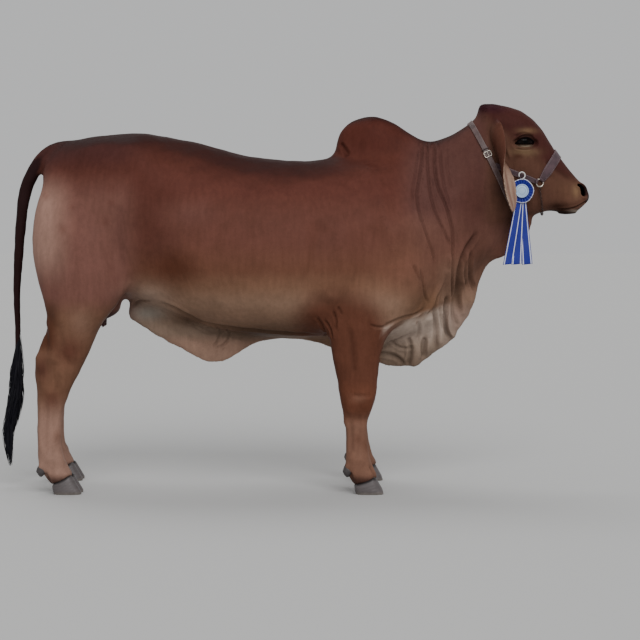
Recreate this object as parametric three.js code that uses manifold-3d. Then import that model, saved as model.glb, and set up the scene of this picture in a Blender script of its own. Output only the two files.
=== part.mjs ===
// A standing brahman cow, life size, wearing a leather show halter and a ribbon rosette.
// Millimetres, Z up. The head points along +X and the animal's right side is -Y.
// The flesh is lofted through hand-measured sections, joined, then parted into named pieces.
import * as THREE from 'three';
import { mergeVertices } from 'three/addons/utils/BufferGeometryUtils.js';
import Module from 'manifold-3d';

const kernel = await Module();
kernel.setup();
const { Manifold, Mesh } = kernel;

// Clearance left between two pieces that touch.
const GAP = 0.3;
// Distance from the middle plane to the middle of each foot.
const TRACK = 200;
// Half the slit between the two claws of a foot.
const CLEFT = 3;
// How far the far-side feet stand ahead of (+) or behind (-) the near-side ones.
const FAR_FORE_STEP = 10;
const FAR_HIND_STEP = -45;
// Heights at which the legs part from the trunk and divide into upper and lower pieces.
const HIND_TOP = 735;
const HOCK_CUT = 505;
const FORE_TOP = 600;
const KNEE_CUT = 405;
// Slanted hair line above the claws: heel and toe points (x, z) of the near feet.
const CORONET_FORE = [[138, 38], [236, 72]];
const CORONET_HIND = [[-1040, 42], [-963, 77]];
// Planes across the neck, as top and bottom points (x, z) in the side view.
const POLL_CUT = [[622, 1492], [752, 1090]];
const SHOULDER_CUT = [[428, 1400], [520, 640]];
const HUMP_CUT = 1352;
const FLAP_CUT = 70;
// Eyeball: centre of the near one and its half sizes.
const EYE = [805, -84, 1377];
const EYE_SIZE = [40, 21, 24];
// Leather: thickness, width of the thin straps and of the noseband.
const STRAP = 4;
const STRAP_WIDTH = 21;
const NOSEBAND_WIDTH = 37;
// Halter lines of the side view (x, z): bridge of the nose, cheek ring, crown strap, cheek strap.
const NOSE_TOP = [944, 1330];
const RING = [866, 1214];
const CROWN_TOP = [594, 1460];
const CROWN_END = [724, 1192];
const CHEEK_END = [716, 1272];
// Cheek ring: radius, distance from the middle plane and turn to lie on the cheek.
const RING_RADIUS = 15;
const RING_OUT = 91;
const RING_TURN = 18;
// Middle of the chain under the chin, from the near ring to the far one.
const CHAIN = [
  [867, -88, 1196], [873, -75, 1165], [880, -58, 1132], [884, -36, 1105], [886, -13, 1091],
  [886, 13, 1091], [884, 36, 1105], [880, 58, 1132], [873, 75, 1165], [867, 88, 1196],
];
// Rosette: centre of the disc, its radius, the radius of the pleated ring and its pleats.
const ROSETTE = [793, -109, 1182];
const DISC_RADIUS = 27;
const RUFFLE_RADIUS = 48;
const PLEATS = 20;
// Ribbon tails: name, x at the top, x at the end, layer counted from the front.
const RIBBONS = [['rear', 784, 741, 0], ['middle', 790, 775, 1], ['front', 798, 818, 2]];

// Colours: red-brown coat, its dark and pale parts, thin skin, horn, leather and steel.
const COAT = 0x6e4132;
const COAT_DARK = 0x4d2a22;
const COAT_PALE = 0x9a7058;
const FOLD = 0x8f715c;
const HORN = 0x3a3634;
const LEATHER = 0x4a3a38;
const STEEL = 0xb9bcc0;

// Trunk, vertical sections from rump to chest:
// x, top, bottom, half width, where it is widest (0 top, 1 bottom), roundness above, below.
const TRUNK = [
  [-1098, 1262, 1150, 40, 0.5, 2, 2],
  [-1078, 1318, 1090, 92, 0.5, 2, 2],
  [-1030, 1362, 1000, 150, 0.5, 2.1, 2],
  [-960, 1390, 900, 200, 0.5, 2.1, 2],
  [-870, 1402, 820, 240, 0.48, 2.3, 2],
  [-780, 1411, 765, 260, 0.46, 2.5, 2.1],
  [-690, 1413, 722, 278, 0.46, 2.9, 2.1],
  [-600, 1398, 690, 292, 0.5, 2.3, 2.1],
  [-500, 1381, 655, 318, 0.54, 2.1, 2.2],
  [-400, 1354, 625, 338, 0.57, 2.1, 2.2],
  [-300, 1326, 608, 349, 0.58, 2.1, 2.2],
  [-200, 1314, 602, 350, 0.58, 2.1, 2.2],
  [-100, 1304, 600, 340, 0.58, 2.1, 2.2],
  [0, 1308, 598, 318, 0.56, 2, 2.2],
  [100, 1325, 596, 290, 0.54, 1.9, 2.2],
  [200, 1335, 592, 268, 0.52, 1.9, 2.2],
  [300, 1335, 590, 248, 0.52, 1.9, 2.1],
  [380, 1320, 604, 222, 0.55, 1.9, 2],
  [450, 1290, 646, 180, 0.55, 2, 2],
  [510, 1240, 720, 125, 0.5, 2, 2],
  [545, 1180, 800, 70, 0.5, 2, 2],
];

// Hump, vertical sections from back to front, in the same order of values.
const HUMP = [
  [58, 1335, 1240, 18, 0.5, 2, 2],
  [74, 1392, 1230, 36, 0.6, 2, 2],
  [98, 1438, 1220, 55, 0.6, 2, 2],
  [144, 1470, 1220, 72, 0.6, 2, 2],
  [205, 1482, 1220, 82, 0.6, 2, 2],
  [260, 1474, 1220, 84, 0.6, 2, 2],
  [320, 1440, 1220, 80, 0.6, 2, 2],
  [384, 1400, 1220, 74, 0.6, 2, 2],
  [440, 1372, 1220, 62, 0.6, 2, 2],
];

// Neck, sections through a top and a bottom point:
// top x, top z, bottom x, bottom z, half width, where widest, roundness above, below.
const NECK = [
  [250, 1345, 330, 680, 232, 0.56, 1.8, 2],
  [340, 1390, 430, 700, 212, 0.56, 1.75, 2],
  [430, 1378, 520, 750, 178, 0.55, 1.7, 2],
  [496, 1396, 590, 815, 150, 0.53, 1.7, 2],
  [545, 1420, 650, 885, 130, 0.5, 1.75, 2],
  [592, 1449, 705, 950, 114, 0.47, 1.8, 2],
  [622, 1477, 745, 1010, 103, 0.44, 1.9, 2],
  [640, 1495, 775, 1055, 96, 0.42, 2, 2],
  [655, 1505, 800, 1085, 88, 0.4, 2, 2],
];

// Head, sections from the poll to the muzzle, in the same order of values.
const HEAD = [
  [630, 1488, 700, 1180, 60, 0.4, 2.2, 2],
  [645, 1529, 735, 1124, 84, 0.38, 2.3, 2],
  [700, 1528, 770, 1098, 98, 0.34, 2.5, 2],
  [760, 1515, 800, 1088, 105, 0.32, 2.7, 1.9],
  [815, 1494, 830, 1085, 108, 0.31, 2.7, 1.9],
  [862, 1455, 858, 1087, 99, 0.32, 2.7, 1.9],
  [899, 1407, 882, 1095, 86, 0.35, 2.7, 2],
  [930, 1353, 902, 1102, 75, 0.4, 2.7, 2],
  [965, 1308, 924, 1105, 68, 0.45, 2.7, 2.1],
  [997, 1266, 944, 1104, 66, 0.5, 2.6, 2.2],
  [1024, 1235, 962, 1098, 68, 0.5, 2.6, 2.4],
  [1048, 1211, 984, 1090, 70, 0.5, 2.6, 2.6],
  [1066, 1190, 1008, 1094, 66, 0.5, 2.6, 2.6],
  [1076, 1168, 1030, 1106, 52, 0.5, 2.5, 2.5],
  [1076, 1150, 1050, 1124, 26, 0.5, 2.3, 2.3],
];

// Hind leg of the near side, level sections from the rump down to the claws:
// z, rear x, front x, inner y, outer y, roundness (y counted outward from the middle plane).
const HIND_LEG = [
  [1290, -1050, -900, 15, 115, 2],
  [1230, -1080, -840, 12, 175, 2],
  [1146, -1107, -780, 10, 222, 2.1],
  [1050, -1124, -745, 8, 255, 2.2],
  [950, -1127, -730, 8, 275, 2.2],
  [860, -1110, -735, 14, 285, 2.2],
  [790, -1088, -750, 58, 286, 2.2],
  [735, -1070, -785, 97, 280, 2.2],
  [685, -1061, -832, 108, 268, 2.2],
  [640, -1065, -860, 116, 258, 2.2],
  [584, -1084, -882, 130, 250, 2.2],
  [540, -1102, -898, 140, 247, 2.2],
  [500, -1110, -920, 146, 246, 2.2],
  [460, -1108, -948, 150, 245, 2.3],
  [420, -1102, -968, 153, 243, 2.3],
  [380, -1100, -984, 156, 240, 2.2],
  [330, -1100, -998, 162, 236, 2.2],
  [270, -1100, -1006, 164, 234, 2.2],
  [200, -1100, -1006, 163, 235, 2.2],
  [155, -1098, -1002, 158, 240, 2.2],
  [120, -1097, -990, 151, 248, 2.2],
  [95, -1085, -976, 149, 250, 2.3],
  [70, -1062, -962, 144, 254, 2.4],
  [45, -1045, -948, 142, 256, 2.5],
  [15, -1035, -938, 140, 258, 2.5],
];

// Foreleg of the near side, level sections from the shoulder blade down, in the same order.
const FORE_LEG = [
  [1220, 215, 290, 100, 130, 2],
  [1060, 118, 392, 110, 264, 2.1],
  [930, 85, 428, 100, 268, 2.1],
  [840, 60, 434, 98, 270, 2.1],
  [760, 35, 408, 98, 264, 2.1],
  [690, 30, 345, 102, 256, 2.1],
  [640, 34, 290, 108, 250, 2.2],
  [581, 40, 252, 120, 246, 2.2],
  [523, 54, 239, 129, 245, 2.2],
  [464, 66, 232, 137, 246, 2.2],
  [420, 74, 229, 142, 249, 2.4],
  [385, 80, 224, 144, 250, 2.5],
  [350, 86, 210, 147, 248, 2.4],
  [318, 93, 196, 152, 244, 2.3],
  [280, 102, 188, 161, 236, 2.2],
  [240, 106, 187, 164, 233, 2.2],
  [190, 107, 192, 164, 234, 2.2],
  [150, 105, 197, 158, 240, 2.2],
  [118, 102, 206, 151, 248, 2.2],
  [95, 106, 214, 149, 250, 2.3],
  [70, 122, 228, 144, 254, 2.4],
  [45, 138, 240, 142, 256, 2.5],
  [15, 150, 250, 140, 258, 2.5],
];

// One claw of the near hind and fore feet: z, rear x, front x, width, roundness.
const HIND_CLAW = [
  [0, -1034, -922, 57, 2.5],
  [8, -1038, -924, 57, 2.5],
  [45, -1041, -944, 54, 2.4],
  [90, -1043, -970, 50, 2.3],
];
const FORE_CLAW = [
  [0, 144, 257, 57, 2.5],
  [8, 140, 255, 57, 2.5],
  [45, 137, 247, 54, 2.4],
  [90, 134, 238, 50, 2.3],
];

// Skin fold under the throat and chest: root x, root z, edge x, edge z, half thickness.
const DEWLAP = [
  [820, 1128, 862, 1084, 10],
  [770, 1160, 844, 1020, 22],
  [720, 1110, 808, 968, 28],
  [680, 1040, 752, 924, 31],
  [630, 960, 690, 898, 33],
  [590, 890, 656, 850, 35],
  [560, 840, 640, 795, 37],
  [530, 800, 626, 740, 39],
  [500, 760, 600, 680, 41],
  [470, 730, 560, 625, 43],
  [440, 715, 528, 578, 44],
  [410, 700, 480, 544, 44],
  [370, 690, 425, 500, 44],
  [330, 680, 360, 476, 42],
  [270, 670, 285, 478, 38],
  [200, 660, 205, 500, 32],
  [120, 655, 120, 524, 28],
  [40, 655, 40, 555, 26],
];

// Skin fold under the belly, from the chest back to the navel and the udder.
const FLAP = [
  [110, 650, 110, 528, 26],
  [32, 650, 32, 560, 26],
  [-64, 650, -64, 584, 26],
  [-140, 650, -140, 588, 28],
  [-220, 655, -220, 580, 30],
  [-280, 660, -280, 560, 32],
  [-330, 668, -335, 522, 34],
  [-378, 676, -385, 496, 34],
  [-428, 684, -435, 491, 34],
  [-470, 692, -480, 506, 33],
  [-520, 704, -530, 536, 32],
  [-580, 718, -590, 566, 31],
  [-640, 736, -650, 600, 30],
  [-700, 756, -706, 638, 28],
  [-756, 780, -760, 672, 22],
];

// Tail, from the root in the rump to the switch: x, z, half depth, half width.
const TAIL = [
  [-960, 1362, 24, 22],
  [-1010, 1357, 29, 28],
  [-1055, 1341, 33, 32],
  [-1097, 1311, 31, 31],
  [-1138, 1260, 27, 28],
  [-1164, 1206, 25, 26],
  [-1179, 1146, 24, 24],
  [-1191, 1040, 21, 22],
  [-1201, 920, 18, 19],
  [-1208, 800, 15, 16],
  [-1208, 700, 12.5, 13],
  [-1206, 620, 10.5, 11],
  [-1209, 560, 9, 9],
  [-1213, 520, 7, 7],
];

// Envelope of the tail switch: z, middle x, half width.
const SWITCH = [
  [590, -1208, 14],
  [548, -1210, 26],
  [468, -1215, 34],
  [388, -1217, 34],
  [308, -1232, 37],
  [228, -1250, 25],
  [148, -1248, 15],
  [80, -1244, 2],
];
const LOCKS = 14;
// Core of the switch around the end of the tail: x, z, half depth, half width.
const SWITCH_CORE = [
  [-1207, 604, 13, 13],
  [-1210, 540, 20, 18],
  [-1215, 460, 24, 20],
  [-1222, 370, 18, 16],
  [-1234, 300, 5, 5],
];

// Near ear, from the root to the tip: x, y, z, half width, cupping, half thickness,
// and the bearing of the open side in degrees (0 faces ahead, + turns outward).
const EAR = [
  [672, -80, 1462, 22, 6, 12, -30],
  [674, -104, 1448, 31, 12, 10, -30],
  [679, -128, 1422, 42, 20, 7, -28],
  [687, -146, 1382, 50, 25, 5.5, -22],
  [698, -156, 1334, 56, 26, 5, -8],
  [707, -160, 1284, 58, 24, 4.5, 12],
  [720, -160, 1232, 56, 21, 4.5, 27],
  [733, -157, 1184, 49, 17, 4, 34],
  [745, -153, 1142, 37, 12, 4, 37],
  [754, -149, 1108, 20, 5, 3.5, 38],
  [757, -147, 1093, 6, 1, 2.5, 38],
];
// Solid from one three.js geometry, its faces turned outward.
function solid(geometry) {
  const bare = geometry.index ? geometry.toNonIndexed() : geometry.clone();
  bare.deleteAttribute('normal');
  bare.deleteAttribute('uv');
  const merged = mergeVertices(bare, 1e-4);
  const vertProperties = new Float32Array(merged.attributes.position.array);
  const triVerts = new Uint32Array(merged.index.array);
  const make = () => {
    const mesh = new Mesh({ numProp: 3, vertProperties, triVerts });
    mesh.merge();
    return new Manifold(mesh);
  };
  const body = make();
  if (body.volume() > 0) {
    return body;
  }
  for (let i = 0; i < triVerts.length; i += 3) {
    const swap = triVerts[i];
    triVerts[i] = triVerts[i + 1];
    triVerts[i + 1] = swap;
  }
  return make();
}

// Largest closed surface of a solid.
function largest(body) {
  const parts = body.decompose();
  parts.sort((a, b) => b.volume() - a.volume());
  return parts[0];
}

function join(parts) {
  return Manifold.union(parts);
}

// Smooth blend of table rows at position t, counted in rows.
function blend(rows, t) {
  const last = rows.length - 1;
  const i = Math.min(last - 1, Math.max(0, Math.floor(t)));
  const f = t - i;
  const a = rows[Math.max(0, i - 1)];
  const b = rows[i];
  const c = rows[i + 1];
  const d = rows[Math.min(last, i + 2)];
  return b.map((v, k) => {
    const p = (c[k] - a[k]) / 2;
    const q = (d[k] - v) / 2;
    const r = c[k] - v;
    return v + f * (p + f * (3 * r - 2 * p - q + f * (p + q - 2 * r)));
  });
}

function bend(value, roundness) {
  return Math.sign(value) * Math.abs(value) ** (2 / roundness);
}

// Closed skin over a run of sections. place(row, across, up, t) gives the point of a section.
function skin(rows, around, along, place) {
  const geometry = new THREE.CylinderGeometry(1, 1, 1, around, along);
  const position = geometry.attributes.position;
  for (let i = 0; i < position.count; i += 1) {
    const t = Math.min(1, Math.max(0, 0.5 - position.getY(i)));
    const row = blend(rows, t * (rows.length - 1));
    const point = place(row, position.getX(i), position.getZ(i), t);
    position.setXYZ(i, point[0], point[1], point[2]);
  }
  return solid(geometry);
}

// Sections that each pass through a top and a bottom point of the side view.
function loft(rows, around, along, grow = 0, sway = () => 0) {
  return skin(rows, around, along, (row, across, up, t) => {
    const [tx, tz, bx, bz, half, widest, above, below] = row;
    const length = Math.hypot(bx - tx, bz - tz);
    const ux = (tx - bx) / length;
    const uz = (tz - bz) / length;
    const wx = tx + (bx - tx) * widest;
    const wz = tz + (bz - tz) * widest;
    const power = up >= 0 ? above : below;
    const reach = length * (up >= 0 ? widest : 1 - widest) + grow;
    const h = bend(up, power) * reach;
    const side = t < 0.001 ? -grow : t > 0.999 ? grow : 0;
    const y = (half + grow) * bend(across, power);
    return [wx + ux * h + uz * side, y + sway(t, widest - h / length), wz + uz * h - ux * side];
  });
}

// Vertical sections of a form that runs along X.
function upright(rows, around, along, grow = 0) {
  const points = rows.map(([x, top, bottom, ...rest]) => [x, top, x, bottom, ...rest]);
  return loft(points, around, along, grow);
}

// Level sections of a leg; side is -1 for the near side and 1 for the far side.
function limb(rows, around, along, side, step, grow = 0) {
  return skin(rows, around, along, (row, across, up, t) => {
    const [z, rear, front, inner, outer, power] = row;
    const end = t < 0.001 ? grow : t > 0.999 ? -grow : 0;
    const shift = step * THREE.MathUtils.smoothstep(1150 - z, 0, 400);
    const x = (rear + front) / 2 + shift + ((front - rear) / 2 + grow) * bend(up, power);
    const y = (inner + outer) / 2 + ((outer - inner) / 2 + grow) * bend(across, power);
    return [x, side * y, z + end];
  });
}

// Round form along a path in the middle plane.
function spine(rows, around, along, grow = 0) {
  const points = rows.map(([x, z, depth, half], i) => {
    const before = rows[Math.max(0, i - 1)];
    const after = rows[Math.min(rows.length - 1, i + 1)];
    const dx = after[0] - before[0];
    const dz = after[1] - before[1];
    const nx = (-dz / Math.hypot(dx, dz)) * depth;
    const nz = (dx / Math.hypot(dx, dz)) * depth;
    return [x + nx, z + nz, x - nx, z - nz, half, 0.5, 2, 2];
  });
  return loft(points, around, along, grow);
}

// Thin cupped or flat blade: rows of centre, half width, cupping, half thickness, bearing.
function blade(rows, around, along, flip = 1) {
  const path = new THREE.CatmullRomCurve3(rows.map(([x, y, z]) => new THREE.Vector3(x, y, z)));
  return skin(rows, around, along, (row, across, up, t) => {
    const [, , , half, cup, thick, bearing] = row;
    const point = path.getPoint(t);
    const tangent = path.getTangent(t);
    const angle = THREE.MathUtils.degToRad(bearing);
    const face = new THREE.Vector3(Math.cos(angle), -Math.sin(angle), 0);
    face.addScaledVector(tangent, -face.dot(tangent)).normalize();
    const wide = new THREE.Vector3().crossVectors(tangent, face);
    point.addScaledVector(wide, half * across);
    point.addScaledVector(face, cup * across * across + thick * up);
    return [point.x, point.y * flip, point.z];
  });
}

// Rounded lump: centre, half sizes and turns about X, Y, Z in degrees.
// It is given for the near side; flip = -1 mirrors it to the far side.
function lump([x, y, z], [a, b, c], [turnX, turnY, turnZ], flip = 1, across = 12, down = 8) {
  const geometry = new THREE.SphereGeometry(1, across, down);
  geometry.rotateX(Math.PI / 2);
  geometry.scale(a, b, c);
  geometry.rotateX(THREE.MathUtils.degToRad(turnX * flip));
  geometry.rotateY(THREE.MathUtils.degToRad(turnY));
  geometry.rotateZ(THREE.MathUtils.degToRad(turnZ * flip));
  geometry.translate(x, y * flip, z);
  return solid(geometry);
}

function polygon(points) {
  const shape = new THREE.Shape();
  shape.setFromPoints(points.map(([x, y]) => new THREE.Vector2(x, y)));
  shape.closePath();
  return shape;
}

// Bar of one radius along a run of points.
function bar(points, radius, sides, steps, flip = 1) {
  const ring = [];
  for (let i = 0; i < sides; i += 1) {
    const angle = (2 * Math.PI * i) / sides;
    ring.push([radius * Math.cos(angle), radius * Math.sin(angle)]);
  }
  const spots = points.map(([x, y, z]) => new THREE.Vector3(x, y * flip, z));
  const extrudePath = new THREE.CatmullRomCurve3(spots);
  const options = { steps, bevelEnabled: false, extrudePath };
  return solid(new THREE.ExtrudeGeometry(polygon(ring), options));
}

// Outline of the side view (x, z) drawn through from y0 to y1.
function across(points, y0, y1) {
  const geometry = new THREE.ExtrudeGeometry(polygon(points), { depth: y1 - y0, bevelEnabled: false });
  geometry.rotateX(Math.PI / 2);
  geometry.translate(0, y1, 0);
  return solid(geometry);
}

// Block with one face on the line from a to b of the side view, reaching depth to its left.
function beside([ax, az], [bx, bz], depth, inset = 0, longer = 3000) {
  const length = Math.hypot(bx - ax, bz - az);
  const geometry = new THREE.BoxGeometry(length + longer, 2000, depth);
  geometry.translate(0, 0, depth / 2 + inset);
  geometry.rotateY(-Math.atan2(bz - az, bx - ax));
  geometry.translate((ax + bx) / 2, 0, (az + bz) / 2);
  return solid(geometry);
}

function block([x0, x1], [y0, y1], [z0, z1]) {
  const geometry = new THREE.BoxGeometry(x1 - x0, y1 - y0, z1 - z0);
  geometry.translate((x0 + x1) / 2, (y0 + y1) / 2, (z0 + z1) / 2);
  return solid(geometry);
}

const nodes = [];
function node(name, form, color, roughness = 0.8, metalness = 0) {
  nodes.push({ name, form, color, roughness, metalness });
}

// Flesh forms; grow > 0 gives the same forms a little larger, for cutting clearances.
const farStep = (side, step) => (side > 0 ? step : 0);
const trunk = (grow) => upright(TRUNK, 20, 20, grow);
const neck = (grow) => loft(NECK, 18, 9, grow);
const skull = (grow) => loft(HEAD, 20, 15, grow);
const foreleg = (side, grow) => limb(FORE_LEG, 12, 20, side, farStep(side, FAR_FORE_STEP), grow);
const hindleg = (side, grow) => limb(HIND_LEG, 12, 21, side, farStep(side, FAR_HIND_STEP), grow);
const tail = (grow) => spine(TAIL, 10, 19, grow);
const cheek = (flip, grow) => {
  const size = [84 + grow, 30 + grow, 90 + grow];
  return lump([800, -58, 1230], size, [14, 20, 0], flip, 14, 9);
};
const sides = (make) => [make(1), make(-1)];

// Bone and muscle that swell the surface: pin bone, shoulder point, elbow.
const SWELLINGS = [
  [[-985, -82, 1240], [114, 54, 66], [0, 0, 0]],
  [[396, -156, 872], [58, 58, 110], [0, 0, 0]],
  [[84, -196, 668], [66, 54, 88], [0, 0, 0]],
];
const swellings = SWELLINGS.flatMap(([c, s, r]) => sides((flip) => lump(c, s, r, flip, 12, 8)));
const teats = [-798, -862].flatMap((x) => sides((flip) => {
  const y = x > -830 ? -45 : -38;
  return bar([[x, y, 715], [x, y, 672], [x + 2, y, 642]], 9.5, 7, 3, flip);
}));

// Whole body without the thin folds, the ears and the tail.
const body = join([
  trunk(0),
  neck(0),
  upright(HUMP, 16, 9),
  foreleg(-1, 0),
  foreleg(1, 0),
  hindleg(-1, 0),
  hindleg(1, 0),
  lump([-1106, 0, 1128], [40, 28, 66], [0, 8, 0], 1, 10, 6),
  lump([-885, 0, 752], [104, 87, 84], [0, 0, 0], 1, 14, 8),
  ...swellings,
  ...teats,
]).subtract(tail(GAP));
const limbs = [-1, 1].flatMap((side) => [foreleg(side, GAP), hindleg(side, GAP)]);
const thick = join([trunk(GAP), neck(GAP), skull(GAP), ...limbs]);

// Space of a foot below its slanted hair line.
function belowCoronet([heel, toe], step, inset) {
  return beside([toe[0] + step, toe[1] - inset], [heel[0] + step, heel[1] - inset], 400, 0, 260);
}

// Legs and feet.
const FEET = {
  fore: {
    top: FORE_TOP,
    cut: KNEE_CUT,
    inner: 90,
    reach: [20, 310],
    coronet: CORONET_FORE,
    claw: FORE_CLAW,
    dewclaw: [110, 84],
    farStep: FAR_FORE_STEP,
    leg: foreleg,
  },
  hind: {
    top: HIND_TOP,
    cut: HOCK_CUT,
    inner: 95,
    reach: [-1300, -690],
    coronet: CORONET_HIND,
    claw: HIND_CLAW,
    dewclaw: [-1084, 88],
    farStep: FAR_HIND_STEP,
    leg: hindleg,
  },
};
const taken = [];
for (const side of [-1, 1]) {
  const hand = side < 0 ? 'right' : 'left';
  for (const [part, foot] of Object.entries(FEET)) {
    const step = farStep(side, foot.farStep);
    const between = (inner) => (side < 0 ? [-500, -inner] : [inner, 500]);
    const ys = between(foot.inner + GAP / 2);
    const upper = block(foot.reach, ys, [foot.cut + GAP / 2, foot.top - GAP / 2]);
    const lower = block(foot.reach, ys, [-50, foot.cut - GAP / 2]);
    const shank = body.intersect(lower).subtract(belowCoronet(foot.coronet, step, 0));
    node(`leg_${part}_${hand}_upper`, body.intersect(upper), COAT_PALE);
    node(`leg_${part}_${hand}_lower`, shank, COAT_PALE);
    taken.push(block(foot.reach, between(foot.inner - GAP / 2), [-50, foot.top + GAP / 2]));
    const leg = foot.leg(side, GAP);
    for (const [which, lean] of [['outer', 1], ['inner', -1]]) {
      const rows = foot.claw.map(([z, rear, front, width, power]) => {
        const near = TRACK + CLEFT * lean;
        const far = near + lean * width;
        return [z, rear + step, front + step, Math.min(near, far), Math.max(near, far), power];
      });
      const claw = limb(rows, 12, 3, side, 0).intersect(belowCoronet(foot.coronet, step, GAP));
      node(`hoof_${part}_${hand}_${which}`, claw, HORN, 0.55);
      const [x, z] = foot.dewclaw;
      const place = [x + step, side * (TRACK + 27 * lean), z];
      const dewclaw = lump(place, [19, 13, 22], [0, 20, 0], 1, 9, 5).subtract(leg);
      node(`dewclaw_${part}_${hand}_${which}`, dewclaw, HORN, 0.6);
    }
  }
}

// Udder, between the thighs, with its four teats.
const udderSpace = (gap) => block([-1010, -700], [-94, 94], [0, HIND_TOP + gap]);
node('udder', body.intersect(udderSpace(-GAP / 2)), FOLD);
taken.push(udderSpace(GAP / 2));

// Head with brows, lids, nostrils and the line of the mouth.
const EYE_SLIT = [
  [839, 1367], [832, 1379], [818, 1388], [803, 1391], [787, 1388], [775, 1381], [769, 1373],
  [780, 1365], [796, 1362], [815, 1361], [830, 1363],
];
const UPPER_LID = [[843, -92, 1365], [830, -103, 1384], [806, -109, 1394], [784, -108, 1389], [766, -100, 1373]];
const LOWER_LID = [[843, -92, 1365], [825, -105, 1358], [805, -109, 1356], [784, -107, 1360], [766, -100, 1373]];
const features = (flip) => [
  lump([808, -70, 1404], [66, 38, 30], [0, 8, 0], flip, 16, 10),
  bar(UPPER_LID, 6, 5, 7, flip),
  bar(LOWER_LID, 5, 5, 7, flip),
  lump([1034, -40, 1183], [32, 27, 36], [0, -30, 0], flip, 12, 8),
  cheek(flip, 0),
];
const hollows = (flip) => [
  across(EYE_SLIT, flip > 0 ? -140 : 84, flip > 0 ? -84 : 140),
  lump(EYE, EYE_SIZE.map((v) => v + GAP), [0, 0, 10], flip, 12, 8),
  lump([1055, -60, 1189], [16, 17, 24], [0, -20, 30], flip, 10, 6),
];
const MOUTH = [
  [1120, 1131], [1040, 1121], [995, 1116], [955, 1122], [926, 1138],
  [957, 1126], [995, 1120], [1040, 1125], [1120, 1135],
];
const mouth = across(MOUTH, -100, 100).subtract(skull(-10));
const head = join([skull(0), neck(0), ...sides(features).flat()])
  .subtract(join([mouth, ...sides(hollows).flat()]));
node('head', head.subtract(beside(POLL_CUT[0], POLL_CUT[1], 2400, -2400 + GAP / 2)), COAT);
node('eye_right', lump(EYE, EYE_SIZE, [0, 0, 10], 1, 12, 8), 0x15100e, 0.15);
node('eye_left', lump(EYE, EYE_SIZE, [0, 0, 10], -1, 12, 8), 0x15100e, 0.15);

// Ears, hanging from the sides of the poll.
const poll = join([skull(GAP), neck(GAP)]);
node('ear_right', blade(EAR, 12, 11).subtract(poll), COAT_PALE);
node('ear_left', blade(EAR, 12, 11, -1).subtract(poll), COAT_PALE);

// Neck, hump and trunk.
const ahead = (cut, inset) => beside(cut[0], cut[1], 2400, inset);
const neckSpace = ahead(SHOULDER_CUT, GAP / 2).subtract(ahead(POLL_CUT, -GAP / 2));
node('neck', join([body, skull(0)]).intersect(neckSpace), COAT);
const behind = body.subtract(ahead(SHOULDER_CUT, -GAP / 2));
const humpSpace = (gap) => block([40, 700], [-400, 400], [HUMP_CUT + gap, 2000]);
node('hump', behind.intersect(humpSpace(GAP / 2)), COAT_DARK);
node('torso', behind.subtract(join([humpSpace(-GAP / 2), ...taken])), COAT);

// Pleated fold of skin from the throat to the brisket, and the flap at the navel.
function pleats(t, depth) {
  const deep = Math.min(1, Math.max(0, depth)) ** 2;
  return 15 * deep * Math.sin(t * 57) * Math.sin(Math.PI * t) ** 0.4;
}
function ripple(t, depth) {
  return 9 * Math.max(0, depth) * Math.sin(t * 24 + 0.6);
}
const sheet = (rows) => rows.map((row) => [...row, 0.18, 2, 1.5]);
const frontSpace = block([FLAP_CUT + GAP, 1200], [-200, 200], [300, 1300]);
const rearSpace = block([-770, FLAP_CUT], [-200, 200], [300, 1300]);
const dewlap = loft(sheet(DEWLAP), 10, 46, 0, pleats).subtract(thick);
const flap = loft(sheet(FLAP), 10, 24, 0, ripple).subtract(thick);
node('dewlap', dewlap.intersect(frontSpace), FOLD);
node('navel_flap', flap.intersect(rearSpace), FOLD);

// Tail and its switch of overlapping locks.
node('tail', tail(0), COAT_DARK);
const locks = [];
for (let i = 0; i < LOCKS; i += 1) {
  const angle = i * 2.4;
  const start = 0.1 + (2.4 * ((i * 7) % LOCKS)) / LOCKS;
  const end = i < 3 ? 7 : 3.8 + (2.9 * ((i * 5) % LOCKS)) / LOCKS;
  const rows = [0, 1, 2, 3, 4, 5].map((k) => {
    const [z, x, half] = blend(SWITCH, start + ((end - start) * k) / 5);
    const out = half * [0.1, 0.5, 0.7, 0.78, 0.82, 0.75][k];
    const turn = THREE.MathUtils.radToDeg(angle) + 8 * k;
    const width = [6, 14, 16, 14, 9, 2][k];
    const deep = [4, 7, 7, 6, 4, 1.5][k];
    return [x + out * Math.cos(angle), -0.8 * out * Math.sin(angle), z, width, 0, deep, turn];
  });
  locks.push(blade(rows, 4, 4));
}
const core = spine(SWITCH_CORE, 8, 6);
node('tail_switch', join([core, ...locks]).subtract(tail(GAP)), 0x120e0e, 0.9);

// Halter: bands cut from a skin that lies just off the head.
const snug = (grow) => join([skull(grow), neck(grow), ...sides((flip) => cheek(flip, grow))]);
const leather = snug(0.5 + STRAP).subtract(snug(0.5));
function band([ax, az], [bx, bz], width, from, to) {
  const length = Math.hypot(bx - ax, bz - az);
  const at = (d) => [ax + ((bx - ax) * d) / length, az + ((bz - az) * d) / length];
  return beside(at(from), at(to), width, -width / 2, 0);
}
const span = ([ax, az], [bx, bz]) => Math.hypot(bx - ax, bz - az);
const halfSpace = (flip) => block([300, 1200], flip > 0 ? [-300, 0] : [0, 300], [900, 1600]);
const noseReach = span(NOSE_TOP, RING) - RING_RADIUS - 4;
node('halter_noseband', leather.intersect(band(NOSE_TOP, RING, NOSEBAND_WIDTH, -60, noseReach)), LEATHER, 0.6);
const crownReach = span(CROWN_TOP, CROWN_END);
node('halter_crown', leather.intersect(band(CROWN_TOP, CROWN_END, STRAP_WIDTH, -60, crownReach)), LEATHER, 0.6);
const crownRoom = band(CROWN_TOP, CROWN_END, STRAP_WIDTH + 1, -60, crownReach + 40);
const cheekBand = leather.intersect(band(RING, CHEEK_END, STRAP_WIDTH, RING_RADIUS + 4, 190)).subtract(crownRoom);
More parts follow.
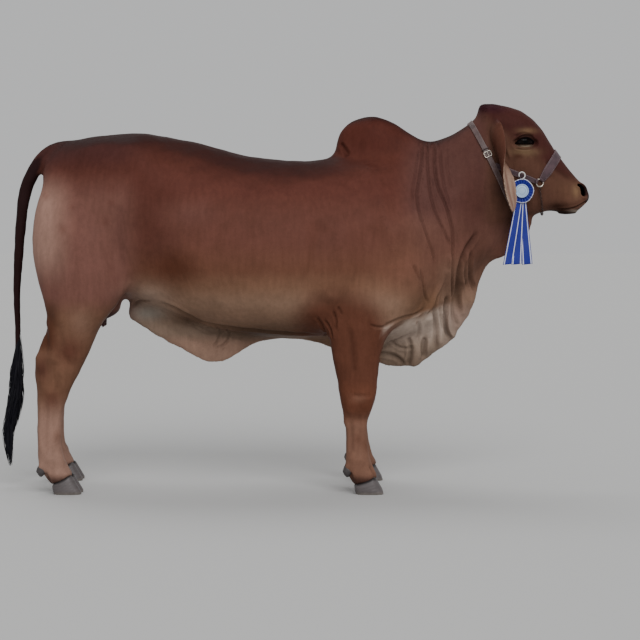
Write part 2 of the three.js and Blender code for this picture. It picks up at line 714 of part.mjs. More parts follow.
node('halter_cheek_right', cheekBand.intersect(halfSpace(1)), LEATHER, 0.6);
node('halter_cheek_left', cheekBand.intersect(halfSpace(-1)), LEATHER, 0.6);

// Steel rings on both sides, the buckle of the crown strap and the chain under the chin.
for (const [hand, flip] of [['right', 1], ['left', -1]]) {
  const ring = new THREE.TorusGeometry(RING_RADIUS, 3, 6, 16);
  ring.rotateX(Math.PI / 2);
  ring.rotateZ(THREE.MathUtils.degToRad(RING_TURN * flip));
  ring.translate(RING[0], -RING_OUT * flip, RING[1]);
  node(`halter_ring_${hand}`, solid(ring), STEEL, 0.3, 0.9);
}
const frame = polygon([[-15, -17], [15, -17], [15, 17], [-15, 17]]);
frame.holes.push(new THREE.Path().setFromPoints([
  new THREE.Vector2(-11, -13),
  new THREE.Vector2(-11, 13),
  new THREE.Vector2(11, 13),
  new THREE.Vector2(11, -13),
]));
const buckle = new THREE.ExtrudeGeometry(frame, { depth: 3, bevelEnabled: false });
buckle.rotateX(Math.PI / 2);
buckle.rotateY(THREE.MathUtils.degToRad(-25));
buckle.rotateX(THREE.MathUtils.degToRad(-10));
buckle.translate(642, -106, 1312);
node('halter_buckle', solid(buckle), STEEL, 0.3, 0.9);
const chain = CHAIN.map((point) => [...point, 5.5, 0, 3, 0]);
node('halter_chin_chain', blade(chain, 6, 24), STEEL, 0.4, 0.9);

// Rosette: hook, disc, pleated ring and three ribbon tails, on the near side.
const HOOK = [
  [794, -99, 1226], [804, -100, 1238], [801, -101, 1252], [790, -101, 1255], [784, -101, 1245],
];
node('rosette_hook', bar(HOOK, 2.5, 6, 12), STEEL, 0.3, 0.9);
const disc = new THREE.CylinderGeometry(DISC_RADIUS, DISC_RADIUS, 7, 24);
disc.translate(ROSETTE[0], ROSETTE[1] - 9.6, ROSETTE[2]);
node('rosette_disc', solid(disc), 0xaac3d7, 0.5);
const profile = [[0, -4], [RUFFLE_RADIUS, -2], [RUFFLE_RADIUS, 2], [0, 4]];
const ruffle = new THREE.LatheGeometry(profile.map(([r, y]) => new THREE.Vector2(r, y)), PLEATS * 4);
const edge = ruffle.attributes.position;
for (let i = 0; i < edge.count; i += 1) {
  const x = edge.getX(i);
  const z = edge.getZ(i);
  const r = Math.hypot(x, z) / RUFFLE_RADIUS;
  edge.setY(i, edge.getY(i) + 4 * r * r * Math.cos(PLEATS * Math.atan2(z, x)));
}
ruffle.translate(...ROSETTE);
node('rosette_ruffle', solid(ruffle), 0x1a2a9a, 0.7);
for (const [which, topX, endX, layer] of RIBBONS) {
  const y = ROSETTE[1] + 8 + layer * 3.2;
  const rows = [
    [topX, y, 1148, 14, 0, 1, -90],
    [(topX * 2 + endX) / 3, y - 1, 1066, 16, 0, 1, -90],
    [(topX + endX * 2) / 3, y - 3, 980, 18, 0, 1, -90],
    [endX, y - 2, 893, 20, 0, 1, -90],
  ];
  node(`rosette_ribbon_${which}`, blade(rows, 6, 6), 0x1c2f9c, 0.6);
}

const cattle = new THREE.Group();
cattle.name = 'brahman_cattle';
for (const { name, form, color, roughness, metalness } of nodes) {
  const mesh = largest(form).getMesh();
  const geometry = new THREE.BufferGeometry();
  const points = new Float32Array(mesh.numVert * 3);
  for (let i = 0; i < mesh.numVert; i += 1) {
    points.set(mesh.vertProperties.subarray(i * mesh.numProp, i * mesh.numProp + 3), i * 3);
  }
  geometry.setAttribute('position', new THREE.BufferAttribute(points, 3));
  geometry.setIndex(new THREE.BufferAttribute(new Uint32Array(mesh.triVerts), 1));
  const material = new THREE.MeshStandardMaterial({ color, roughness, metalness });
  const piece = new THREE.Mesh(geometry, material);
  piece.name = name;
  cattle.add(piece);
}

// Stand the animal on Z = 0 with its outline centred on the vertical axis.
const bounds = new THREE.Box3().setFromObject(cattle);
const centre = bounds.getCenter(new THREE.Vector3());
for (const piece of cattle.children) {
  piece.geometry.translate(-centre.x, -centre.y, -bounds.min.z);
}

export default cattle;
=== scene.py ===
import math

import bmesh
import bpy
import numpy as np
from mathutils import Matrix, Vector
from mathutils.bvhtree import BVHTree


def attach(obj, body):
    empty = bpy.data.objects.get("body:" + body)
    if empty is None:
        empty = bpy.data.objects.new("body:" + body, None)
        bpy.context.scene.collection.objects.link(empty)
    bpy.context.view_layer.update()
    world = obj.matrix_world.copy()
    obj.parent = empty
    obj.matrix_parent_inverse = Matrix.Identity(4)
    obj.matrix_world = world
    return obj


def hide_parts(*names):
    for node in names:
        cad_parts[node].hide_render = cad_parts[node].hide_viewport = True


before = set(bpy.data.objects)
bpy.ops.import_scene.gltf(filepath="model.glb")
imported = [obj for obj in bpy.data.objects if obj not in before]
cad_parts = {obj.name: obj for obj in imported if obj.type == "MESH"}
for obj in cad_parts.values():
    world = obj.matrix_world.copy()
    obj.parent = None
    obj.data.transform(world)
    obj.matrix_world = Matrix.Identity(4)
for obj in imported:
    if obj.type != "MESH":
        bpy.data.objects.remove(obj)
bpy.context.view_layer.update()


# Camera: the animal is seen from its right side, from seven and a half metres off, at the height
# of the point of its shoulder and looking a little down. A fairly long lens keeps the legs upright.
def linked(name, data):
    """A new object of the scene, with its mesh, curve, light or camera."""
    made = bpy.data.objects.new(name, data)
    bpy.context.scene.collection.objects.link(made)
    return made


lens = bpy.data.cameras.new("camera")
lens.lens = 105.5
lens.sensor_width = 36
camera = linked("camera", lens)
camera.location = (0.101, -7.5, 1.052)
camera.rotation_euler = (math.radians(90 - 2.93), 0, 0)
bpy.context.scene.camera = camera

# Hide over the trunk, hump, neck, head, legs and tail, one skin without a seam. The softening
# of each form is how far its flats and corners are rounded off: most on the barrel of the body,
# least on the thin folds, the head and the lower legs.
SOFTENING = {"torso": 1.0, "hump": 0.6, "neck": 0.5, "head": 0.1, "dewlap": 0.04,
             "navel_flap": 0.07, "udder": 0.06, "tail": 0.05}
for end in ("fore", "hind"):
    for hand in ("right", "left"):
        SOFTENING[f"leg_{end}_{hand}_upper"] = 0.4
        SOFTENING[f"leg_{end}_{hand}_lower"] = 0.12


def solid(name):
    """A copy of a node's shape with its loose triangles joined."""
    shape = bmesh.new()
    shape.from_mesh(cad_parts[name].data)
    bmesh.ops.remove_doubles(shape, verts=shape.verts, dist=1e-5)
    return shape


def as_mesh(name, shape):
    """A new mesh from a bmesh, which is freed."""
    mesh = bpy.data.meshes.new(name)
    shape.to_mesh(mesh)
    shape.free()
    return mesh


def settled(made):
    """The mesh of an object as its modifiers or its bevel leave it."""
    return bpy.data.meshes.new_from_object(made.evaluated_get(bpy.context.evaluated_depsgraph_get()))


def remeshed(shape, size):
    """One closed surface over everything in the bmesh, in even faces of that size."""
    rough = linked("rough", as_mesh("rough", shape))
    even = rough.modifiers.new("even", "REMESH")
    even.mode = "VOXEL"
    even.voxel_size = size
    mesh = settled(rough)
    bpy.data.objects.remove(rough)
    return mesh


def read(items, key, width, kind=float):
    """A value of every vertex, edge or face as an array."""
    values = np.empty(len(items) * width, np.int32 if kind is int else np.float32)
    items.foreach_get(key, values)
    return values.reshape(-1, width).astype(kind)


def moved(mesh, points):
    """Puts the vertices of a mesh at the points."""
    mesh.vertices.foreach_set("co", points.astype(np.float32).ravel())
    mesh.update()


def noted(mesh, name, values):
    """Keeps a number for every vertex in the mesh, under that name."""
    mesh.attributes.new(name, "FLOAT", "POINT").data.foreach_set("value", values.astype(np.float32))


def softened(values, edges, weight, rounds):
    """Values drawn towards their neighbours' mean, again and again."""
    a, b = edges.T
    count = len(values)
    share = weight / np.maximum(1, np.bincount(a, minlength=count) + np.bincount(b, minlength=count))
    for _ in range(rounds):
        total = np.stack([np.bincount(a, column[b], count) + np.bincount(b, column[a], count)
                          for column in values.T], 1)
        values = values * (1 - weight)[:, None] + total * share[:, None]
    return values


def ease(t):
    """A smooth step from 0 to 1."""
    t = np.clip(t, 0, 1)
    return t * t * (3 - 2 * t)


# The lower legs reach down into their hooves, and the skin is let in a little under the tail root.
flesh = bmesh.new()
softness = []
for name, soft in SOFTENING.items():
    form = solid(name)
    form.normal_update()
    for v in form.verts:
        if name.endswith("_lower") and v.normal.z < -0.25:
            v.co += Vector((v.normal.x * 0.002, v.normal.y * 0.002, -0.005))
        if name == "torso" and v.co.x < -0.985 and abs(v.co.y) < 0.04 and 1.04 < v.co.z < 1.22:
            v.co.x += 0.020
        v.co += v.normal * 0.0012
    flesh.from_mesh(as_mesh("form", form))
    softness += [soft] * (len(flesh.faces) - len(softness))
nearest = BVHTree.FromBMesh(flesh)
mesh = remeshed(flesh, size=0.006)
edges = read(mesh.edges, "vertices", 2, int)
place = read(mesh.vertices, "co", 3)
weight = np.array([softness[nearest.find_nearest(p)[2]] for p in place.tolist()])
weight = softened(weight[:, None], edges, np.full(len(weight), 0.8), rounds=40)[:, 0]
# Smoothing shrinks a form, so what it loses is given back as a smooth swelling.
soft = softened(place, edges, weight, rounds=120)
moved(mesh, soft)
normal = read(mesh.vertices, "normal", 3)
lost = softened(((place - soft) * normal).sum(1)[:, None], edges, weight, rounds=120)
moved(mesh, soft + normal * lost)

# Ears: long drooping leaves of gristle under thin hide, cupped round the inner face and turned
# forwards towards the tip. Each row gives the middle line, then half width, depth of the cup
# and half thickness, and the bearing of the inner face in degrees.
EAR = np.array([
    (0.780, 0.040, 1.452, 0.024, 0.006, 0.0120, -46),
    (0.781, 0.074, 1.440, 0.036, 0.008, 0.0100, -42),
    (0.784, 0.104, 1.418, 0.046, 0.012, 0.0075, -36),
    (0.789, 0.131, 1.382, 0.050, 0.018, 0.0055, -26),
    (0.799, 0.146, 1.334, 0.055, 0.020, 0.0050, -10),
    (0.809, 0.154, 1.284, 0.056, 0.021, 0.0045, 12),
    (0.821, 0.160, 1.232, 0.056, 0.021, 0.0045, 27),
    (0.834, 0.157, 1.184, 0.049, 0.017, 0.0040, 34),
    (0.847, 0.153, 1.142, 0.037, 0.012, 0.0040, 37),
    (0.855, 0.149, 1.108, 0.020, 0.005, 0.0035, 38),
    (0.858, 0.147, 1.093, 0.006, 0.001, 0.0030, 38)])


def ear_row(t):
    """The ear's row at a share t of its length, and its length, width and face directions."""
    steps = np.arange(len(EAR))
    at, after, before = (np.array([np.interp(np.clip(t + step, 0, 1) * (len(EAR) - 1), steps, column)
                                   for column in EAR.T]) for step in (0, 0.02, -0.02))
    along = Vector(after[:3] - before[:3]).normalized()
    turn = math.radians(at[6])
    face = Vector((math.cos(turn), math.sin(turn), 0))
    face = (face - along * face.dot(along)).normalized()
    return at, along, along.cross(face), face


def ear(side):
    """One ear as a closed shape. Side is -1 for the right ear and 1 for the left."""
    shape = bmesh.new()
    bmesh.ops.create_uvsphere(shape, u_segments=44, v_segments=60, radius=1)
    for v in shape.verts:
        spoke = math.hypot(v.co.x, v.co.y)
        across, up = (v.co.x / spoke, v.co.y / spoke) if spoke > 1e-4 else (0, 0)
        at, along, wide, face = ear_row(math.acos(max(-1, min(1, v.co.z))) / math.pi)
        ridges = 0.0022 * math.cos(across * 9) * max(0, up) * min(1, at[3] / 0.04)
        thick = math.copysign(1, up) * (1 - abs(across) ** 5) ** 0.5
        v.co = (Vector(at[:3]) + wide * at[3] * across
                + face * (at[4] * across * across + at[5] * thick + ridges))
        v.co.y *= side
    bmesh.ops.recalc_face_normals(shape, faces=shape.faces)
    return shape


hide = bmesh.new()
hide.from_mesh(mesh)
leaves = bmesh.new()
for side in (-1, 1):
    mesh = as_mesh("ear", ear(side))
    hide.from_mesh(mesh)
    leaves.from_mesh(mesh)
mesh = remeshed(hide, size=0.0036)
edges = read(mesh.edges, "vertices", 2, int)
place = read(mesh.vertices, "co", 3)
leaf = BVHTree.FromBMesh(leaves)
leaves.free()
ears = ease((np.abs(place[:, 1]) - 0.10) / 0.03) * ease((place[:, 0] - 0.72) / 0.03) * (place[:, 2] > 1.07)
for i in np.where(ears > 0)[0]:
    ears[i] *= float(ease((0.011 - leaf.find_nearest(place[i].tolist())[3]) / 0.006))
place = softened(place, edges, 0.4 + 0.45 * ears, rounds=14)
for i in np.where(ears > 0)[0]:
    place[i] += ears[i] * 0.85 * (np.array(leaf.find_nearest(place[i].tolist())[0]) - place[i])
place = softened(place, edges, 0.5 * ears, rounds=3)
moved(mesh, place)
noted(mesh, "ear", ears)

# Folds, creases and swellings of the hide, pressed into the soft skin: the wrinkles that hang
# down the neck, the pleats of the dewlap, creases at the elbow, brisket and flank, bones and
# tendons under thin skin. Each has its half width, depth and the share that piles up beside it,
# and a narrow crease also has the strength of the painted shade along its line.
hide = bmesh.new()
hide.from_mesh(mesh)
# The faces round the eyes and the nostrils are halved: a place of each, and how far it reaches.
fine = ((0.906, 0.1, 1.377, 0.06), (1.145, 0.05, 1.175, 0.055))
picked = [v for v in hide.verts if v.co.x > 0.8 and v.co.z > 1.05 and any(
    (v.co - Vector((x, math.copysign(y, v.co.y), z))).length < reach for x, y, z, reach in fine)]
bmesh.ops.subdivide_edges(hide, edges=list({e for v in picked for e in v.link_edges}), cuts=1,
                          use_grid_fill=True)
bmesh.ops.triangulate(hide, faces=hide.faces)
tree = BVHTree.FromBMesh(hide)
mesh = as_mesh("skin", hide)
place = read(mesh.vertices, "co", 3)
normal = read(mesh.vertices, "normal", 3)
edges = read(mesh.edges, "vertices", 2, int)
ears = read(mesh.attributes["ear"].data, "value", 1)[:, 0]
lift = np.zeros(len(place))
crease_shade = np.zeros(len(place))


def on_skin(points, side):
    """Points of the side view (x, z), or (x, y, z) as they are, laid on the skin of one side."""
    found = []
    for point in points:
        x, z = point[0], point[-1]
        if side > 0:
            x += (-0.045 if x < -0.6 else 0.01) * float(ease((0.75 - z) / 0.25))
        if len(point) == 3:
            found.append((x, point[1] * side, z))
            continue
        hit = tree.ray_cast(Vector((x, side * 1.2, z)), Vector((0, -side, 0)))[0]
        if hit:
            found.append(hit)
    return np.array(found)


def along(path, reach):
    """The vertices near a path, with their distance from it and their share of its length."""
    close = np.where(((place > path.min(0) - reach) & (place < path.max(0) + reach)).all(1))[0]
    piece = path[1:] - path[:-1]
    size = (piece ** 2).sum(1) + 1e-12
    offset = place[close][:, None] - path[:-1]
    share = np.clip((offset * piece).sum(2) / size, 0, 1)
    away = np.linalg.norm(offset - share[..., None] * piece, axis=2)
    best = away.argmin(1)
    row = np.arange(len(close))
    length = np.concatenate([[0], np.cumsum(np.sqrt(size))])
    return close, away[row, best], (length[best] + share[row, best] * np.sqrt(size)[best]) / length[-1]


def rounded(points):
    """The same line with its corners cut off twice."""
    line = np.array(points, float)
    for _ in range(2):
        cut = np.stack([line[:-1] * 0.75 + line[1:] * 0.25, line[:-1] * 0.25 + line[1:] * 0.75], 1)
        line = np.concatenate([line[:1], cut.reshape(-1, line.shape[1]), line[-1:]])
    return line


def fold(half, depth, ridge, *points, ends=0.15, dark=0.5, sides=(-1, 1)):
    """A crease along the points, or a swelling where the depth is negative. Broad forms run out
    round at their ends, and narrow creases grow shallow there. A narrow crease is also darkened
    with painted shade, as strong as dark."""
    for side in sides:
        path = on_skin(rounded(points), side)
        if len(path) < 2:
            continue
        close, away, share = along(path, half * 3.4)
        facing = ease((normal[close, 1] * side + 0.35) / 0.5) if len(points[0]) == 2 else 1
        facing = facing * (1 - ears[close])
        q = away / half
        press = -np.exp(-q * q) + ridge * np.exp(-((q - 1.9) / 0.85) ** 2)
        narrow = depth > 0 and half < 0.013
        if narrow:
            facing = facing * ease(share / ends) * ease((1 - share) / ends)
            # Painted shade along the narrow crease.
            crease_shade[close] = np.maximum(crease_shade[close], dark * np.exp(-(q * 1.15) ** 2) * facing)
        lift[close] += depth * press * facing


# Neck wrinkles, front to back, then the long folds that run down into the dewlap.
fold(0.0055, 0.0050, 0.5, (0.507, 1.379), (0.503, 1.316), (0.494, 1.254), (0.477, 1.175),
     (0.483, 1.102), (0.511, 1.021), (0.541, 0.934), (0.552, 0.879), ends=0.08, dark=0.42)
fold(0.0052, 0.0050, 0.5, (0.528, 1.379), (0.524, 1.316), (0.524, 1.248), (0.530, 1.175),
     (0.545, 1.107), (0.568, 1.055), (0.593, 1.008), (0.608, 0.960), ends=0.08, dark=0.42)
fold(0.0060, 0.0068, 0.5, (0.554, 1.379), (0.550, 1.306), (0.552, 1.243), (0.564, 1.186),
     (0.593, 1.128), (0.611, 1.060), (0.621, 1.008), (0.622, 0.950), (0.615, 0.871),
     (0.618, 0.777), (0.625, 0.693), (0.636, 0.641), ends=0.06, dark=0.45)
fold(0.0048, 0.0038, 0.5, (0.578, 1.374), (0.575, 1.301), (0.584, 1.212), (0.601, 1.149),
     (0.619, 1.086), dark=0.30)
fold(0.0048, 0.0028, 0.4, (0.602, 1.364), (0.600, 1.285), (0.608, 1.222), (0.625, 1.170), dark=0.20)
fold(0.0048, 0.0028, 0.4, (0.486, 1.369), (0.483, 1.306), (0.475, 1.248), (0.459, 1.175),
     (0.463, 1.117), dark=0.20)
fold(0.0042, 0.0022, 0.4, (0.541, 1.369), (0.537, 1.301), (0.540, 1.238), (0.549, 1.175), dark=0.15)
fold(0.0110, 0.0130, 0.4, (0.725, 1.036), (0.711, 1.002), (0.680, 0.960), (0.657, 0.908),
     (0.647, 0.850), (0.643, 0.767), (0.649, 0.688), dark=0.72)
fold(0.0090, 0.0078, 0.5, (0.694, 0.960), (0.691, 0.898), (0.694, 0.840), (0.710, 0.803),
     (0.725, 0.777), dark=0.57)
fold(0.0070, 0.0052, 0.5, (0.675, 0.918), (0.671, 0.856), (0.677, 0.793), dark=0.47)
fold(0.0060, 0.0052, 0.4, (0.483, 0.882), (0.499, 0.829), (0.511, 0.767), (0.526, 0.740), dark=0.52)
fold(0.0120, -0.0095, 0.0, (0.593, 0.866), (0.572, 0.809), (0.544, 0.746), (0.523, 0.714))
fold(0.0080, 0.0091, 0.5, (0.567, 0.793), (0.551, 0.740), (0.551, 0.699), (0.560, 0.646),
     (0.563, 0.594), (0.558, 0.541), dark=0.67)
fold(0.0060, 0.0059, 0.5, (0.574, 0.725), (0.577, 0.678), (0.586, 0.630), dark=0.52)
fold(0.0080, 0.0111, 0.5, (0.600, 0.777), (0.593, 0.725), (0.594, 0.672), (0.605, 0.620),
     (0.626, 0.594), dark=0.72)
fold(0.0070, 0.0078, 0.5, (0.633, 0.793), (0.631, 0.725), (0.636, 0.678), (0.652, 0.641), dark=0.57)
fold(0.0130, -0.0121, 0.0, (0.608, 0.918), (0.604, 0.835), (0.606, 0.751), (0.612, 0.678), (0.625, 0.615))
fold(0.0140, -0.0095, 0.0, (0.667, 0.829), (0.665, 0.761), (0.672, 0.699))
fold(0.0120, -0.0081, 0.0, (0.578, 0.699), (0.581, 0.636), (0.584, 0.583))
fold(0.0140, -0.0081, 0.0, (0.533, 0.678), (0.536, 0.615), (0.530, 0.552))
fold(0.0140, -0.0081, 0.0, (0.634, 0.612), (0.636, 0.600), sides=(-1,))
# Brisket and chest.
fold(0.0080, 0.0055, 0.4, (0.340, 0.649), (0.377, 0.669), (0.423, 0.690), (0.475, 0.695),
     (0.517, 0.727), dark=0.45)
fold(0.006, 0.0054, 0.4, (0.457, 0.898), (0.478, 0.85), (0.493, 0.827), dark=0.40)
fold(0.0070, 0.0050, 0.5, (0.337, 0.555), (0.389, 0.582), (0.431, 0.606), (0.469, 0.620), dark=0.30)
fold(0.0060, 0.0045, 0.5, (0.378, 0.589), (0.413, 0.562), (0.448, 0.556), (0.483, 0.564), dark=0.40)
fold(0.0090, 0.0085, 0.4, (0.331, 0.537), (0.384, 0.531), (0.416, 0.516), (0.442, 0.484), dark=0.70)
fold(0.0075, 0.0081, 0.5, (0.453, 0.604), (0.463, 0.562), (0.461, 0.520), (0.450, 0.484), dark=0.65)
fold(0.0090, 0.0095, 0.5, (0.520, 0.604), (0.512, 0.562), (0.515, 0.515), dark=0.65)
fold(0.0070, 0.0054, 0.5, (0.489, 0.672), (0.495, 0.625), (0.489, 0.583), dark=0.40)
fold(0.0140, -0.0078, 0.0, (0.483, 0.557), (0.486, 0.520), (0.478, 0.484))
fold(0.0150, -0.0050, 0.0, (0.415, 0.591), (0.436, 0.581), (0.415, 0.541))
# Elbow, forearm and the groove behind the shoulder.
fold(0.006, 0.005, 0.5, (0.084, 0.702), (0.112, 0.653), (0.134, 0.608))
fold(0.005, 0.005, 0.5, (0.120, 0.682), (0.143, 0.642), (0.150, 0.60))
fold(0.005, 0.005, 0.5, (0.151, 0.719), (0.166, 0.674), (0.160, 0.64))
fold(0.005, 0.004, 0.5, (0.170, 0.735), (0.186, 0.70))
fold(0.005, 0.004, 0.4, (0.292, 0.664), (0.324, 0.651), (0.357, 0.654))
fold(0.030, 0.009, 0.2, (0.100, 1.02), (0.086, 0.906), (0.051, 0.818), (0.093, 0.748))
fold(0.040, -0.010, 0.0, (0.30, 1.26), (0.34, 1.12), (0.385, 0.96))
fold(0.045, -0.010, 0.0, (0.20, 1.02), (0.19, 0.88), (0.17, 0.78))
fold(0.026, 0.005, 0.1, (0.29, 1.02), (0.275, 0.90), (0.25, 0.82))
fold(0.060, -0.008, 0.0, (0.44, 1.02), (0.46, 0.92), (0.45, 0.84))
fold(0.012, 0.005, 0.3, (0.215, 0.66), (0.228, 0.56), (0.232, 0.47))
fold(0.020, -0.005, 0.0, (0.265, 0.64), (0.262, 0.54), (0.258, 0.46))
# Flank, thigh, hip and rump.
fold(0.007, 0.006, 0.4, (-0.655, 0.725), (-0.610, 0.752), (-0.560, 0.752), dark=0.4)
fold(0.095, 0.016, 0.0, (-0.52, 0.92), (-0.535, 0.99), (-0.51, 1.08))
fold(0.050, -0.008, 0.0, (-0.60, 1.12), (-0.63, 0.99), (-0.63, 0.86), (-0.60, 0.79))
fold(0.030, 0.008, 0.2, (-0.68, 0.84), (-0.70, 0.96), (-0.69, 1.08))
fold(0.028, 0.007, 0.2, (-0.945, 1.18), (-0.925, 1.0), (-0.925, 0.84), (-0.95, 0.70))
fold(0.050, -0.012, 0.0, (-0.80, 1.345), (-0.74, 1.36), (-0.66, 1.35))
fold(0.040, -0.008, 0.0, (-0.98, 1.30), (-0.955, 1.25))
fold(0.060, -0.010, 0.0, (-0.82, 0.95), (-0.80, 0.80), (-0.79, 0.70))
# The ribs show as faint broad swellings.
chance = np.random.default_rng(3)
for x in np.arange(-0.42, 0.10, 0.066):
    x += chance.uniform(-0.012, 0.012)
    high, low = 1.18 + chance.uniform(-0.06, 0.02), 0.84 + chance.uniform(-0.05, 0.08)
    fold(0.024, chance.uniform(-0.0026, -0.0012), 0.0, (x, high), (x + 0.014, 1.0), (x + 0.004, low))
# Rear of the hump and its foot.
fold(0.009, 0.007, 0.3, (0.180, 1.372), (0.196, 1.350), (0.215, 1.32))
fold(0.022, 0.0015, 0.0, (0.215, 1.33), (0.30, 1.275), (0.42, 1.29), dark=0.0)
# Navel flap: wrinkles at the lowest point and long shallow waves.
fold(0.005, 0.004, 0.5, (-0.300, 0.655), (-0.296, 0.62), (-0.306, 0.585), (-0.330, 0.552), dark=0.4)
fold(0.005, 0.004, 0.5, (-0.266, 0.650), (-0.258, 0.61), (-0.272, 0.575), (-0.318, 0.556), dark=0.4)
fold(0.005, 0.003, 0.5, (-0.430, 0.675), (-0.380, 0.640), (-0.330, 0.622), dark=0.2)
fold(0.018, 0.005, 0.3, (-0.60, 0.70), (-0.50, 0.63), (-0.40, 0.58))
# The line under the near belly's edge: a crease with strong painted shade, where the belly's shadow falls.
fold(0.012, 0.009, 0.5, (-0.560, 0.748), (-0.497, 0.737), (-0.42, 0.700), (-0.351, 0.664),
     (-0.236, 0.648), (-0.12, 0.636), (0.04, 0.622), (0.10, 0.615), dark=0.65)
# Hock, knee, tendons and fetlocks.
fold(0.022, -0.008, 0.0, (-0.936, 0.620), (-0.931, 0.573), (-0.939, 0.534))
fold(0.017, 0.0055, 0.1, (-0.914, 0.650), (-0.908, 0.568), (-0.888, 0.525), (-0.870, 0.505))
fold(0.016, -0.0035, 0.0, (-0.873, 0.548), (-0.849, 0.538), (-0.828, 0.534))
fold(0.018, 0.007, 0.2, (-0.968, 0.66), (-0.964, 0.60), (-0.968, 0.56))
fold(0.020, -0.009, 0.0, (-0.994, 0.53), (-0.988, 0.50))
fold(0.022, -0.005, 0.0, (-0.905, 0.475), (-0.885, 0.450), (-0.895, 0.425))
fold(0.014, 0.005, 0.2, (-0.930, 0.50), (-0.935, 0.46), (-0.925, 0.42))
fold(0.016, -0.005, 0.0, (-0.976, 0.440), (-0.962, 0.400))
fold(0.010, 0.005, 0.3, (-0.962, 0.37), (-0.966, 0.28), (-0.966, 0.16), dark=0.15)
fold(0.016, -0.004, 0.0, (-0.985, 0.34), (-0.988, 0.26), (-0.988, 0.18))
fold(0.018, -0.006, 0.0, (-0.955, 0.140), (-0.930, 0.135), (-0.905, 0.130))
fold(0.010, 0.005, 0.3, (0.220, 0.29), (0.222, 0.24), (0.222, 0.16), dark=0.15)
fold(0.016, -0.004, 0.0, (0.200, 0.28), (0.200, 0.22), (0.201, 0.17))
fold(0.024, -0.007, 0.0, (0.288, 0.375), (0.290, 0.345))
fold(0.018, -0.005, 0.0, (0.212, 0.355), (0.216, 0.330))
fold(0.016, -0.004, 0.0, (0.245, 0.350), (0.250, 0.325))
fold(0.016, 0.005, 0.2, (0.215, 0.292), (0.245, 0.288), (0.280, 0.290))
fold(0.007, 0.003, 0.4, (0.225, 0.392), (0.262, 0.383), (0.300, 0.392), dark=0.25)
fold(0.018, -0.006, 0.0, (0.225, 0.140), (0.255, 0.136), (0.275, 0.130))
for x, z in ((0.212, 0.108), (-0.980, 0.112)):
    for y in (0.227, 0.173):
        fold(0.013, -0.010, 0.0, (x, y, z), (x - 0.008, y, z - 0.012))
# Cheek, jaw, nose and the lines around the eye.
fold(0.012, 0.004, 0.3, (0.830, 1.250), (0.850, 1.200), (0.905, 1.165), (0.950, 1.160))
fold(0.014, -0.004, 0.0, (0.945, 1.335), (0.985, 1.285), (1.020, 1.255))
fold(0.010, 0.003, 0.3, (0.985, 1.300), (1.040, 1.262), (1.095, 1.225))
fold(0.006, 0.004, 0.4, (0.812, 1.405), (0.818, 1.36), (0.835, 1.310))
fold(0.006, -0.003, 0.0, (0.828, 1.400), (0.834, 1.36), (0.848, 1.315))
fold(0.0035, 0.0025, 0.4, (0.862, 1.352), (0.885, 1.345), (0.915, 1.343), (0.945, 1.352))
fold(0.004, 0.003, 0.4, (0.862, 1.393), (0.885, 1.407), (0.912, 1.410), (0.945, 1.394))
# The mouth line, with full painted shade in its crease.
fold(0.0038, 0.007, 0.35, (1.165, 1.149), (1.145, 1.137), (1.113, 1.117), (1.084, 1.111), (1.060, 1.110),
     (1.040, 1.113), ends=0.06, dark=1)
fold(0.009, -0.005, 0.0, (1.125, 1.101), (1.09, 1.096), (1.06, 1.098))
fold(0.013, -0.004, 0.0, (1.150, 1.158), (1.120, 1.142), (1.085, 1.136))
# Cleft between the toes, front and back.
for x in (0.30, -0.88):
    fold(0.008, 0.010, 0.2, (x - 0.005, 0.2315, 0.115), (x + 0.022, 0.2315, 0.070),
         (x + 0.035, 0.2315, 0.035))
    fold(0.010, 0.008, 0.2, (x - 0.085, 0.2315, 0.090), (x - 0.080, 0.2315, 0.055),
         (x - 0.072, 0.2315, 0.02))
# The skin is a little uneven everywhere: fourteen slow waves, each in a direction of its own.
WAVES = 14
waves = chance.normal(0, 1, (WAVES, 3))
waves *= (chance.uniform(45, 130, WAVES) / np.linalg.norm(waves, axis=1))[:, None]
uneven = np.sin(place @ waves.T + chance.uniform(0, 6.28, WAVES)).sum(1) * 0.00022
uneven *= 1 - 0.7 * ease((place[:, 0] - 0.75) / 0.1)
place += normal * (lift + uneven * (1 - ears))[:, None]

# Eye sockets: the lids close over the ball in an almond with an arched upper lid and an almost
# straight lower one, on the side of the head, looking outwards and a little forwards.
EYE = np.array((0.906, 0.084, 1.377))
BALL = np.array((0.0385, 0.0205, 0.0235))
LOOK = math.radians(10)
# Half the length of the opening, the height of its corners, and the rise of its upper lid.
CORNER = 0.0365
LID_LINE = -0.0075
LID_ARCH = 0.0190


def eye_frame(points, side):
    """Points as seen from the front of an eye: forwards, up, outwards."""
    at = points * (1, side, 1) - EYE
    return (at[:, 0] * math.cos(LOOK) - at[:, 1] * math.sin(LOOK), at[:, 2],
            at[:, 0] * math.sin(LOOK) + at[:, 1] * math.cos(LOOK))


def ball_depth(u, v):
    """How far the eyeball stands out at a place seen from its front."""
    return BALL[1] * np.sqrt(np.maximum(0, 1 - (u / BALL[0]) ** 2 - (v / BALL[2]) ** 2))


def slit(u, v):
    """Distance into the opening between the lids, negative outside it."""
    out = np.abs(u / CORNER)
    middle = LID_LINE + 0.0005 * u / CORNER
    upper = middle + LID_ARCH * np.maximum(0, 1 - out ** 2) ** 0.8
    lower = middle - 0.0028 * np.maximum(0, 1 - out ** 2)
    inner = np.minimum(upper - v, v - lower)
    beyond = np.hypot(np.maximum(0, np.abs(u) - CORNER), np.minimum(0, inner))
    return np.where((out < 1) & (inner > 0), np.minimum(inner, (CORNER - np.abs(u)) * 0.6), -beyond)


